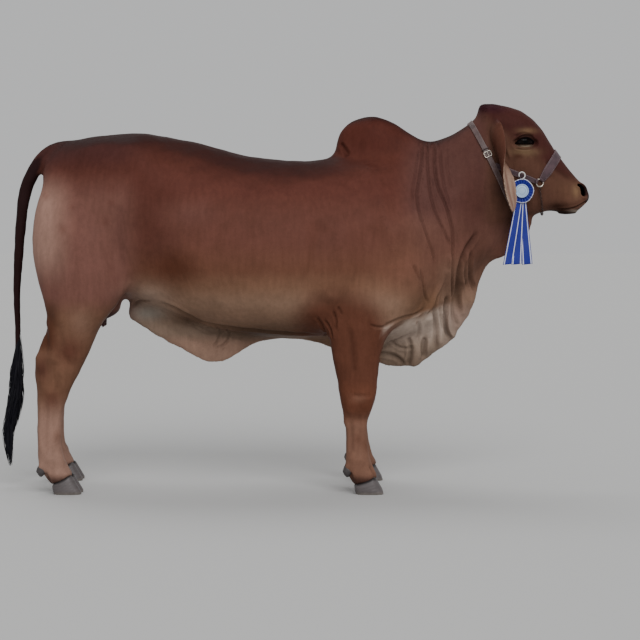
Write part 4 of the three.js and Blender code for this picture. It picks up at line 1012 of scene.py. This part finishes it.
# Hooves and dewclaws: two claws of dark horn on each foot and two small ones behind it. Horn
# grows down in faint rings from the dark hair line and is worn flat and paler where it stands.
horn, nodes, shader, where = finish("dark horn", Roughness=0.42, Specular_IOR_Level=0.4)
fibres = noise(nodes, where, 1, 3, (260, 260, 30))
layers = noise(nodes, where, 1, 2, (9, 9, 150))
blots = noise(nodes, where, 45, 3)
amount = sums(nodes, (fibres, 0.25), (layers, 0.45), (blots, 0.5), start=0.36)
feed(nodes, shader, Base_Color=scaled(nodes, noted_as(nodes, "tint", "Color"), amount),
     Normal=bumped(nodes, sums(nodes, (fibres, 0.25), (layers, 0.8)), 0.4, 0.0008),
     Roughness=sums(nodes, (blots, 0.35), start=0.3))
hide = bmesh.new()
hide.from_mesh(mesh)
hide_tree = BVHTree.FromBMesh(hide)
hide.free()


def claw(name):
    """One claw from its node, with the colour of its points: softened, set into the foot, ringed
    and worn. A hoof's front wall slopes, and a dewclaw tapers down."""
    hoof = name.startswith("hoof")
    form = remeshed(solid(name), size=0.003)
    p = read(form.vertices, "co", 3)
    sole = p[:, 2].min()
    p = softened(p, read(form.edges, "vertices", 2, int), np.full(len(p), 0.6), rounds=40 if hoof else 16)
    if hoof:
        front = ease((p[:, 0] - p[:, 0].max() + 0.060) / 0.055)
        p[:, 0] -= (0.026 if "fore" in name else 0.006) * front * np.clip((p[:, 2] - sole) / 0.075, 0, 1)
    moved(form, p)
    n = read(form.vertices, "normal", 3)
    far = np.array([hide_tree.find_nearest(q)[3] for q in p.tolist()])
    near = ease((0.012 - far) / 0.010) if hoof else np.zeros(len(p))
    p += n * (0.0022 - 0.0052 * near)[:, None]
    rings = np.sin(far * 620 + 1.5 * np.sin(p[:, 0] * 50)) + 0.5 * np.sin(far * 1010 + 2)
    p += n * (rings * (1 - np.abs(n[:, 2])) * 0.00028)[:, None]
    if hoof:
        p[:, 2] += 0.005 * near
        worn = sole + np.maximum(0, p[:, 2] - sole - 0.002) * 1.6
        p[:, 2] = np.where(p[:, 2] < sole + 0.005, worn, p[:, 2])
    else:
        centre = p.mean(0)
        p[:, 2] = centre[2] + (p[:, 2] - centre[2]) * 1.2
        slim = 1.08 - 0.34 * ease((centre[2] - p[:, 2]) / 0.024)
        p[:, :2] = centre[:2] + (p[:, :2] - centre[:2]) * slim[:, None]
        meet = np.array(hide_tree.find_nearest(centre.tolist())[0])
        way = (meet - centre) / np.linalg.norm(meet - centre)
        p += way * (0.023 - ((p - meet) @ way).max())
    moved(form, p)
    colour = np.repeat(shade(86, 80, 80)[None], len(p), 0)
    colour = blend(colour, shade(30, 25, 25), ease((0.014 - far) / 0.008) if hoof else 0.5 + 0 * far)
    return form, blend(colour, shade(120, 112, 104), 0.6 * ease((0.014 - p[:, 2]) / 0.012))


for end in ("fore", "hind"):
    for hand in ("right", "left"):
        feet = bmesh.new()
        names = [f"{kind}_{end}_{hand}_{which}" for kind in ("hoof", "dewclaw")
                 for which in ("outer", "inner")]
        colours = []
        for name in names:
            form, colour = claw(name)
            feet.from_mesh(form)
            colours.append(colour)
        claws = piece(f"claws_{end}_{hand}", as_mesh(f"claws_{end}_{hand}", feet), horn, "horn")
        painted(claws.data, "tint", np.concatenate(colours))
        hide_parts(*names)

# Tail switch: long coarse black hair that starts a hand above the end of the tail, falls in
# overlapping locks and narrows to a few long ends. Rows: height, middle, half width.
SWITCH = np.array([(0.640, -1.104, 0.011), (0.548, -1.109, 0.024), (0.468, -1.114, 0.032),
                   (0.388, -1.116, 0.033), (0.308, -1.131, 0.035), (0.228, -1.149, 0.025),
                   (0.148, -1.147, 0.015), (0.080, -1.143, 0.003)])
LOCKS = 620
LONGEST = 40
steps = 12
begin = chance.uniform(0, 0.55, LOCKS) ** 1.3
stop = np.clip(begin + chance.uniform(0.25, 0.7, LOCKS), 0, 1)
stop[:LONGEST] = chance.uniform(0.85, 1, LONGEST)
t = begin[:, None] + (stop - begin)[:, None] * np.linspace(0, 1, steps)
height, middle_x, half = (np.interp(t, np.linspace(0, 1, len(SWITCH)), column) for column in SWITCH.T)
turn = chance.uniform(0, 2 * np.pi, LOCKS)[:, None]
reach = np.linspace(0, 1, steps) ** 0.5 * chance.uniform(0.2, 1, LOCKS)[:, None] ** 0.6 * half
sway = (0.006 * np.sin(t * 13 + turn * 3) + 0.003 * np.sin(t * 29 + turn * 5)) * np.linspace(0, 1, steps)
path = np.stack([middle_x + (reach + sway) * np.cos(turn), 0.8 * (reach + sway) * np.sin(turn), height], 2)
swell = np.sin(np.linspace(0.3, 3.05, steps)) ** 0.7
wide = chance.uniform(0.0016, 0.0036, LOCKS)[:, None] * swell
roots = np.stack([np.full(LOCKS, 0.9), 0.9 + 0.05 * begin], 1)
turn = turn[:, 0]
switch = strands("switch_hair", black, "switch", path, np.stack([np.cos(turn), np.sin(turn), 0 * turn], 1),
                 wide, wide * 0.45, roots)
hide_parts("tail_switch")

# Show halter: a wide noseband and a narrow strap that goes over the poll and round the throat, of
# dark oiled leather, four millimetres thick, joined at a ring on each cheek. Every strap is pulled
# flat over the hide and sewn along both edges in pale thread.
STITCH = 0.0050
STITCH_PITCH = 0.0072
bald = BVHTree.FromPolygons(place.tolist(), loops[(face_ear < 0.02)].tolist())


def leather(name, *rgb):
    """Oiled leather: pores, a fine grain, worn paler in clouds and along its edges."""
    made, nodes, shader, where = finish(name, Roughness=0.5, Specular_IOR_Level=0.35)
    worn = noise(nodes, where, 40, 5)
    grain = noise(nodes, where, 260, 3)
    edge = node(nodes, "ShaderNodeMapRange", {"Value": noted_as(nodes, "across", "Fac"), "From Min": 0.86,
                                              "From Max": 1.0, "To Max": 0.7}).outputs[0]
    base = two_tone(nodes, worn, shade(*rgb) * 0.8, shade(*rgb) * (1.25, 1.15, 1.1))
    feed(nodes, shader, Roughness=sums(nodes, (worn, 0.3), start=0.32),
         Base_Color=scaled(nodes, base, sums(nodes, (worn, 0.9), (grain, 0.4), (edge, 1.0), start=0.30)),
         Normal=bumped(nodes, sums(nodes, (cells(nodes, where, 650), 0.7), (grain, 0.6)), 0.5, 0.0005))
    return made


brown = leather("dark brown leather", 76, 60, 66)
grey = leather("greyed brown leather", 88, 74, 74)
thread, nodes, shader, where = finish("waxed thread", Roughness=0.7)
feed(nodes, shader, Base_Color=two_tone(nodes, noise(nodes, where, 1500), (0.16, 0.12, 0.10),
                                        (0.34, 0.28, 0.23)))


def strap(name, inside, out, across, width, thick, material, closed=False):
    """A strap pulled over the hide: from points inside the head, outwards, in five rows across its
    width. Gives back the strap and a function for places on its face."""
    rows = np.linspace(-1, 1, 5)
    origin = inside[:, None] + across[:, None] * (rows[None] * width[:, None] / 2)[..., None]
    reach = np.empty(origin.shape[:2])
    for i, k in np.ndindex(reach.shape):
        ray, start = Vector(out[i]), Vector(origin[i, k])
        hit = bald.ray_cast(start + ray * 0.45, -ray)[0]
        reach[i, k] = (hit - start).length if hit else np.nan
    for k in range(5):
        good = ~np.isnan(reach[:, k])
        reach[:, k] = np.interp(np.arange(len(reach)), np.where(good)[0], reach[good, k])

    def beside(values):
        """The values one place before and one place after."""
        before, after = np.roll(values, 1, 0), np.roll(values, -1, 0)
        if not closed:
            before[0], after[-1] = values[0], values[-1]
        return before, after

    taut = reach.copy()
    for _ in range(30):
        taut = np.maximum(reach, sum(beside(taut)) / 2)
    slope = (taut * rows).sum(1) / (rows ** 2).sum()
    level = (taut - slope[:, None] * rows).max(1)
    for _ in range(3):
        for values in (slope, level):
            before, after = beside(values)
            values[:] = (before + 2 * values + after) / 4
    face = origin + out[:, None] * (level[:, None] + slope[:, None] * rows + 0.0006)[..., None]
    shape = bmesh.new()
    bmesh.ops.create_grid(shape, x_segments=len(face) - 1, y_segments=4, size=1)
    edge_share = shape.verts.layers.float.new("across")
    for v in shape.verts:
        i, k = round((v.co.x + 1) / 2 * (len(face) - 1)), round((v.co.y + 1) / 2 * 4)
        v.co = face[i, k]
        v[edge_share] = abs(rows[k])
    if closed:
        bmesh.ops.remove_doubles(shape, verts=shape.verts, dist=1e-5)
    shape.normal_update()
    core = Vector(inside.mean(0))
    if sum(f.normal.dot(f.calc_center_median() - core) for f in shape.faces) < 0:
        bmesh.ops.reverse_faces(shape, faces=shape.faces)
    made = piece(name, as_mesh(name, shape), material, "strap")
    wall = made.modifiers.new("thickness", "SOLIDIFY")
    wall.thickness = thick
    wall.offset = 1
    edges = made.modifiers.new("edges", "BEVEL")
    edges.width = 0.0009
    edges.segments = 2
    edges.limit_method = "ANGLE"
    edges.angle_limit = math.radians(50)

    def on_face(share, k):
        """Place on the outer face, the way out and the way along, at a share of the length and at
        k across, from -1 to 1."""
        at = share * (len(face) - 1)
        i = int(np.clip(math.floor(at), 0, len(face) - 2))
        row = (k + 1) * 2
        j = int(np.clip(math.floor(row), 0, 3))
        near, far = (face[i + end, j] * (1 - row + j) + face[i + end, j + 1] * (row - j) for end in (0, 1))
        run = face[i + 1, 2] - face[i, 2]
        way = np.cross(run, face[i, 4] - face[i, 0])
        way /= np.linalg.norm(way)
        way *= math.copysign(1, way @ out[i])
        return near * (1 - at + i) + far * (at - i) + way * thick, way, run / np.linalg.norm(run)

    length = np.linalg.norm(np.diff(face[:, 2], axis=0), axis=1).sum()
    stitches, ways = [], []
    for k in (-0.80, 0.80):
        for share in np.arange(0.004, length - 0.006, STITCH_PITCH) / length:
            spots = [on_face(share + part * STITCH / length, k) for part in (0, 0.33, 0.66, 1)]
            rise = (-0.0006, 0.0002, 0.0002, -0.0006)
            stitches.append([at + way * proud for (at, way, _), proud in zip(spots, rise)])
            ways.append(spots[0][1])
    wide = np.repeat([[0.0003, 0.0006, 0.0006, 0.0003]], len(stitches), 0)
    strands(f"{name}_stitches", thread, "strap", np.array(stitches), np.array(ways), wide, wide,
            np.full((len(stitches), 2), 0.5), 4)
    return made, on_face


def belt(name, high, low, share, reach, width, thick, material, closed=False, count=120):
    """A strap in the plane through two points of the side view, square to the middle plane."""
    high, low = Vector((high[0], 0, high[1])), Vector((low[0], 0, low[1]))
    up = (high - low).normalized()
    angle = np.radians(np.linspace(-reach, reach, count))
    out = np.sin(angle)[:, None] * np.array((0, 1, 0)) + np.cos(angle)[:, None] * np.array(up)
    across = np.repeat([np.array(up.cross(Vector((0, 1, 0))))], count, 0)
    return strap(name, np.repeat([np.array(low + (high - low) * share)], count, 0), out, across,
                 np.interp(np.abs(angle), np.radians((0, reach - 25, reach)), (width[0], width[0], width[1])),
                 thick, material, closed)


noseband, _ = belt("noseband", (1.045, 1.330), (0.967, 1.214), share=0.14, reach=93, width=(0.037, 0.024),
                   thick=0.004, material=brown)
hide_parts("halter_noseband")
crown, on_crown = belt("crown_strap", (0.695, 1.460), (0.825, 1.192), share=0.5, reach=180,
                       width=(0.021, 0.021), thick=0.004, material=grey, closed=True, count=160)
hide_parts("halter_crown")
for side, hand in ((-1, "right"), (1, "left")):
    start, stop = np.array((0.953, 1.2194)), np.array((0.790, 1.2825))
    run = (stop - start) / np.linalg.norm(stop - start)
    line = start + (stop - start) * np.linspace(0, 1, 40)[:, None]
    cheek, _ = strap(f"cheek_strap_{hand}", np.stack([line[:, 0], 0 * line[:, 0], line[:, 1]], 1),
                     np.repeat([(0, side, 0)], 40, 0).astype(float), np.repeat([(-run[1], 0, run[0])], 40, 0),
                     np.interp(np.arange(40), (0, 8, 39), (0.018, 0.021, 0.021)), 0.0038, brown)
    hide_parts(f"halter_cheek_{hand}")

# Halter fittings: a welded ring on each cheek, with the straps turned round it in rolled loops, a
# roller buckle on the crown strap and a link chain under the jaw, all of worn plated steel.
RING = Vector((0.967, 0.091, 1.214))
RING_SIZE = 0.015
BUCKLE_HEIGHT = 1.326
LINK_PITCH = 0.0086
LINK_LENGTH = 0.0060
LINK_WIDTH = 0.0036


def metal(name, dark, light, smooth):
    """Worn metal with a cloudy tarnish."""
    made, nodes, shader, where = finish(name, Metallic=1.0, Roughness=0.3)
    tarnish = noise(nodes, where, 120, 4)
    feed(nodes, shader, Base_Color=two_tone(nodes, tarnish, dark, light),
         Roughness=sums(nodes, (tarnish, 0.35), start=smooth),
         Normal=bumped(nodes, noise(nodes, where, 500), 0.25, 0.0003))
    return made


steel = metal("worn plated steel", (0.36, 0.31, 0.25), (0.68, 0.63, 0.56), 0.16)
dull = metal("dull brown steel", (0.05, 0.032, 0.028), (0.15, 0.10, 0.09), 0.30)


def wire(name, lines, radius, material, slot, closed=True, sides=8):
    """Bent round wire along one or more lines of points, in one mesh."""
    drawn = bpy.data.curves.new(name, "CURVE")
    drawn.dimensions = "3D"
    drawn.bevel_depth = radius
    drawn.bevel_resolution = sides // 2 - 2
    drawn.use_fill_caps = True
    for line in lines:
        spline = drawn.splines.new("POLY")
        spline.points.add(len(line) - 1)
        for point, at in zip(spline.points, line):
            point.co = (*at, 1)
        spline.use_cyclic_u = closed
    rough = linked("rough", drawn)
    form = settled(rough)
    bpy.data.objects.remove(rough)
    bent = bmesh.new()
    bent.from_mesh(form)
    bmesh.ops.remove_doubles(bent, verts=bent.verts, dist=1e-6)
    bmesh.ops.recalc_face_normals(bent, faces=bent.faces)
    return piece(name, as_mesh(name, bent), material, slot)


def smooth_line(points, count):
    """Even points on a smooth curve through the given ones."""
    points = np.array(points, float)
    t = np.linspace(0, len(points) - 1, count)
    i = np.clip(t.astype(int), 0, len(points) - 2)
    f = (t - i)[:, None]
    a, b, c, d = (points[np.clip(i + k, 0, len(points) - 1)] for k in (-1, 0, 1, 2))
    return b + 0.5 * f * (c - a + f * (2 * a - 5 * b + 4 * c - d + f * (3 * (b - c) + d - a)))


for side, hand in ((-1, "right"), (1, "left")):
    turned = math.radians(18) * -side
    flat = np.array((math.cos(turned), math.sin(turned), 0))
    angle = np.linspace(0, 2 * np.pi, 40, endpoint=False)[:, None]
    centre = np.array(RING) * (1, side, 1)
    circle = centre + (np.cos(angle) * flat + np.sin(angle) * (0, 0, 1)) * RING_SIZE
    ring = wire(f"ring_{hand}", [circle], 0.003, steel, "steel", sides=12)
    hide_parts(f"halter_ring_{hand}")
    for label, ahead, rise, size in (("noseband", 0.558, 0.83, 0.0105), ("cheek", -0.932, 0.36, 0.0085)):
        out = flat * ahead + np.array((0, 0, rise))
        run = flat * -rise + np.array((0, 0, ahead))
        hold = centre + out * RING_SIZE
        roll = [[hold + run * size * k - out * 0.0022 * k * k for k in np.linspace(-1, 1, 7)]]
        wire(f"{label}_loop_{hand}", roll, 0.0062, brown, "strap", closed=False, sides=12)

share = min(np.linspace(0.02, 0.49, 200), key=lambda s: abs(on_crown(s, 0)[0][2] - BUCKLE_HEIGHT))
if on_crown(share, 0)[0][1] > 0:
    share = 1 - share
hold, out, run = on_crown(share, 0)
cross = np.cross(out, run)
corners = [(-1, -0.7), (-0.7, -1), (0.7, -1), (1, -0.7), (1, 0.7), (0.7, 1), (-0.7, 1), (-1, 0.7)]
bow = [hold + out * 0.0022 + run * a * 0.0110 + cross * b * 0.0140 for a, b in corners]
buckle = wire("buckle_frame", [bow], 0.0019, steel, "steel", sides=10)
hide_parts("halter_buckle")
tongue = [hold + out * (0.0040 - 0.0016 * t) + run * (0.014 - 0.028 * t) for t in np.linspace(0, 1, 6)]
wire("buckle_tongue", [tongue], 0.0015, steel, "steel", closed=False)
corners = [(-0.0118, -0.004), (-0.0122, 0.0008), (-0.010, 0.0022), (0, 0.0026), (0.010, 0.0022),
           (0.0122, 0.0008), (0.0118, -0.004)]
keeper = [hold + run * 0.024 + out * 0.0008 + cross * a + out * b for a, b in corners]
wire("strap_keeper", [keeper], 0.0026, grey, "strap", closed=False, sides=10)

CHAIN = [(0.968, -0.089, 1.198), (0.971, -0.083, 1.170), (0.978, -0.066, 1.138), (0.984, -0.042, 1.108),
         (0.987, -0.014, 1.091), (0.987, 0.014, 1.091), (0.984, 0.042, 1.108), (0.978, 0.066, 1.138),
         (0.971, 0.083, 1.170), (0.968, 0.089, 1.198)]
route = smooth_line(CHAIN, 400)
gone = np.concatenate([[0], np.cumsum(np.linalg.norm(np.diff(route, axis=0), axis=1))])
angle = np.linspace(0, 2 * np.pi, 14, endpoint=False)
links = []
for i in range(int(gone[-1] / LINK_PITCH)):
    at, ahead = (np.array([np.interp((i + part) * LINK_PITCH, gone, column) for column in route.T])
                 for part in (0.5, 0.9))
    run = (ahead - at) / np.linalg.norm(ahead - at)
    flat = np.cross(run, (1, 0.2, 0))
    flat /= np.linalg.norm(flat)
    if i % 2:
        flat = np.cross(run, flat)
    links.append(at + np.cos(angle)[:, None] * run * LINK_LENGTH + np.sin(angle)[:, None] * flat * LINK_WIDTH)
chain = wire("chin_chain", links, 0.00125, dull, "steel", sides=6)
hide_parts("halter_chin_chain")

# Rosette: a satin prize ribbon on a white plastic hook over the cheek strap. A pleated ruffle of
# blue satin with a white edge stands round a pale domed button with a rim, and three blue
# streamers with white lines along their edges hang from it. No lettering.
CENTRE = np.array((0.894, -0.109, 1.182))
PLEATS = 22
RUFFLE_WIDTH = 0.0275


def satin(name, base, white, bands, threads):
    """Satin ribbon cloth: warp threads with a soft gloss, and white where the across value is in
    one of the given bands. The colour carries painted lustre along the weave and in soft clouds."""
    made, nodes, shader, where = finish(name, Roughness=0.38, Sheen_Weight=0.35, Sheen_Roughness=0.3,
                                        Specular_IOR_Level=0.4)
    across = noted_as(nodes, "across", "Fac")

    def reckoned(operation, a, b):
        """A sum, product or comparison of two values."""
        return node(nodes, "ShaderNodeMath", {0: a, 1: b}, operation=operation).outputs[0]

    mask = 0.0
    for low, high in bands:
        beyond, short = reckoned("GREATER_THAN", across, low), reckoned("LESS_THAN", across, high)
        mask = reckoned("ADD", mask, reckoned("MULTIPLY", beyond, short))
    weave = noise(nodes, where, 1, 2, threads)
    # Painted lustre: the colour lighter and darker along the weave and in soft clouds.
    painted_lustre = sums(nodes, (weave, 0.5), (noise(nodes, where, 30, 3), 0.4), start=0.55)
    feed(nodes, shader, Base_Color=scaled(nodes, two_tone(nodes, mask, base, white), painted_lustre),
         Roughness=sums(nodes, (weave, 0.25), start=0.28), Normal=bumped(nodes, weave, 0.35, 0.0002))
    return made


blue, white = shade(20, 32, 128), shade(205, 208, 222)
ruffle_satin = satin("blue ruffle satin", blue, white, ((0.90, 1.1),), (500, 500, 500))
streamer_satin = satin("blue streamer satin", blue, white, ((0.66, 0.86),), (2600, 600, 300))
button_satin = satin("pale button satin", shade(168, 190, 214), shade(120, 145, 190),
                     ((0.46, 0.52), (0.80, 0.85)), (900, 900, 900))


def cloth(name, wide, long, placed, material, thick):
    """A strip of cloth from a grid, with its place given by shares across and along."""
    shape = bmesh.new()
    bmesh.ops.create_grid(shape, x_segments=wide, y_segments=long, size=1)
    across = shape.verts.layers.float.new("across")
    for v in shape.verts:
        v.co, v[across] = placed(v.co.x, (v.co.y + 1) / 2)
    bmesh.ops.remove_doubles(shape, verts=shape.verts, dist=1e-6)
    bmesh.ops.recalc_face_normals(shape, faces=shape.faces)
    area = sum(f.calc_area() for f in shape.faces)
    made = piece(name, as_mesh(name, shape), material, "ribbon")
    wall = made.modifiers.new("thickness", "SOLIDIFY")
    wall.thickness = thick
    wall.offset = 0
    return made, area


def ruffle_place(radial, around):
    """Knife pleats round the button, deepest at the outer edge."""
    share = (radial + 1) / 2
    turn = around * 2 * math.pi
    wave = math.sin(turn * PLEATS + 0.9 * math.sin(turn * PLEATS))
    radius = 0.020 + RUFFLE_WIDTH * share + 0.0008 * math.sin(turn * 5 + 1)
    lean = 0.05 * math.sin(turn * PLEATS + 1.2) * share
    return CENTRE + np.array((math.cos(turn + lean) * radius, 0.0034 * wave * share - 0.0022 * share,
                              math.sin(turn + lean) * radius)), share


ruffle, area = cloth("ruffle", 8, PLEATS * 12, ruffle_place, ruffle_satin, 0.0005)
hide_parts("rosette_ruffle")

# The button's outline, from its middle over the rim to its back: radius and height.
profile = [(0, 0.0040), (0.008, 0.0038), (0.015, 0.0030), (0.0205, 0.0016), (0.0222, 0.0012),
           (0.0230, 0.0022), (0.0245, 0.0032), (0.0262, 0.0026), (0.0270, 0.0008), (0.0268, -0.0018),
           (0.0250, -0.0034), (0, -0.0035)]
shape = bmesh.new()
across = shape.verts.layers.float.new("across")
line = [shape.verts.new((CENTRE[0] + radius, -0.1186 - rise, CENTRE[2])) for radius, rise in profile]
drawn = [shape.edges.new(pair) for pair in zip(line, line[1:])]
bmesh.ops.spin(shape, geom=line + drawn, cent=tuple(CENTRE), axis=(0, 1, 0), angle=2 * math.pi, steps=64,
               use_merge=True)
bmesh.ops.remove_doubles(shape, verts=shape.verts, dist=1e-6)
bmesh.ops.recalc_face_normals(shape, faces=shape.faces)
for v in shape.verts:
    v[across] = math.hypot(v.co.x - CENTRE[0], v.co.z - CENTRE[2]) / 0.027
button = piece("button", as_mesh("button", shape), button_satin, "disc")
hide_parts("rosette_disc")

for layer, label, top, bottom, phase in ((-1, "rear", 0.885, 0.842, 0.4), (0, "middle", 0.891, 0.876, 2.0),
                                         (1, "front", 0.899, 0.919, 3.6)):
    def streamer_place(side, down):
        """A streamer that widens downwards, with slow waves across and along it."""
        half = 0.013 + 0.007 * down
        wave = 0.0016 * math.sin(down * 9 + phase) * down + 0.0010 * math.sin(side * 2.5 + down * 5 + phase)
        return (top + (bottom - top) * down + half * side, -0.103 + 0.0034 * layer + wave,
                1.150 - 0.257 * down + 0.002 * side * down), abs(side)

    streamer, area = cloth(f"streamer_{label}", 16, 48, streamer_place, streamer_satin, 0.0006)
    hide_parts(f"rosette_ribbon_{label}")

plastic, nodes, shader, where = finish("white hook plastic", Roughness=0.35)
feed(nodes, shader, Base_Color=two_tone(nodes, noise(nodes, where, 90), (0.52, 0.52, 0.50),
                                        (0.72, 0.72, 0.70)))
bow = smooth_line([(0.895, -0.1150, 1.226), (0.905, -0.1160, 1.238), (0.904, -0.1165, 1.250),
                   (0.893, -0.1165, 1.256), (0.883, -0.1160, 1.249), (0.883, -0.1150, 1.238)], 30)
hook = wire("rosette_hanger", [bow], 0.0024, plastic, "disc", closed=False, sides=10)
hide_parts("rosette_hook")

# Floor and light: a plain pale studio floor under a wide even sky, with a soft light from above
# and behind that skims the back, and a soft one from the front.
shape = bmesh.new()
bmesh.ops.create_grid(shape, x_segments=1, y_segments=1, size=60)
floor = linked("floor", as_mesh("floor", shape))
floor.data.materials.append(finish("pale floor", Base_Color=(0.487, 0.487, 0.482, 1), Roughness=0.9,
                                   Specular_IOR_Level=0.1)[0])


def lamp(name, start, spread, power):
    """A soft distant light from a direction, as wide as the given angle."""
    light = bpy.data.lights.new(name, "SUN")
    light.angle = math.radians(spread)
    light.energy = power
    linked(name, light).rotation_euler = Vector(start).to_track_quat("Z", "Y").to_euler()


lamp("overhead", (-0.25, 0.5, 1.0), 35, 0.8)
lamp("front", (0.25, -1.0, 0.75), 40, 2.1)
sky = bpy.data.worlds.new("studio")
sky.use_nodes = True
sky.node_tree.nodes["Background"].inputs["Color"].default_value = (0.72, 0.725, 0.73, 1)
sky.node_tree.nodes["Background"].inputs["Strength"].default_value = 0.80
bpy.context.scene.world = sky
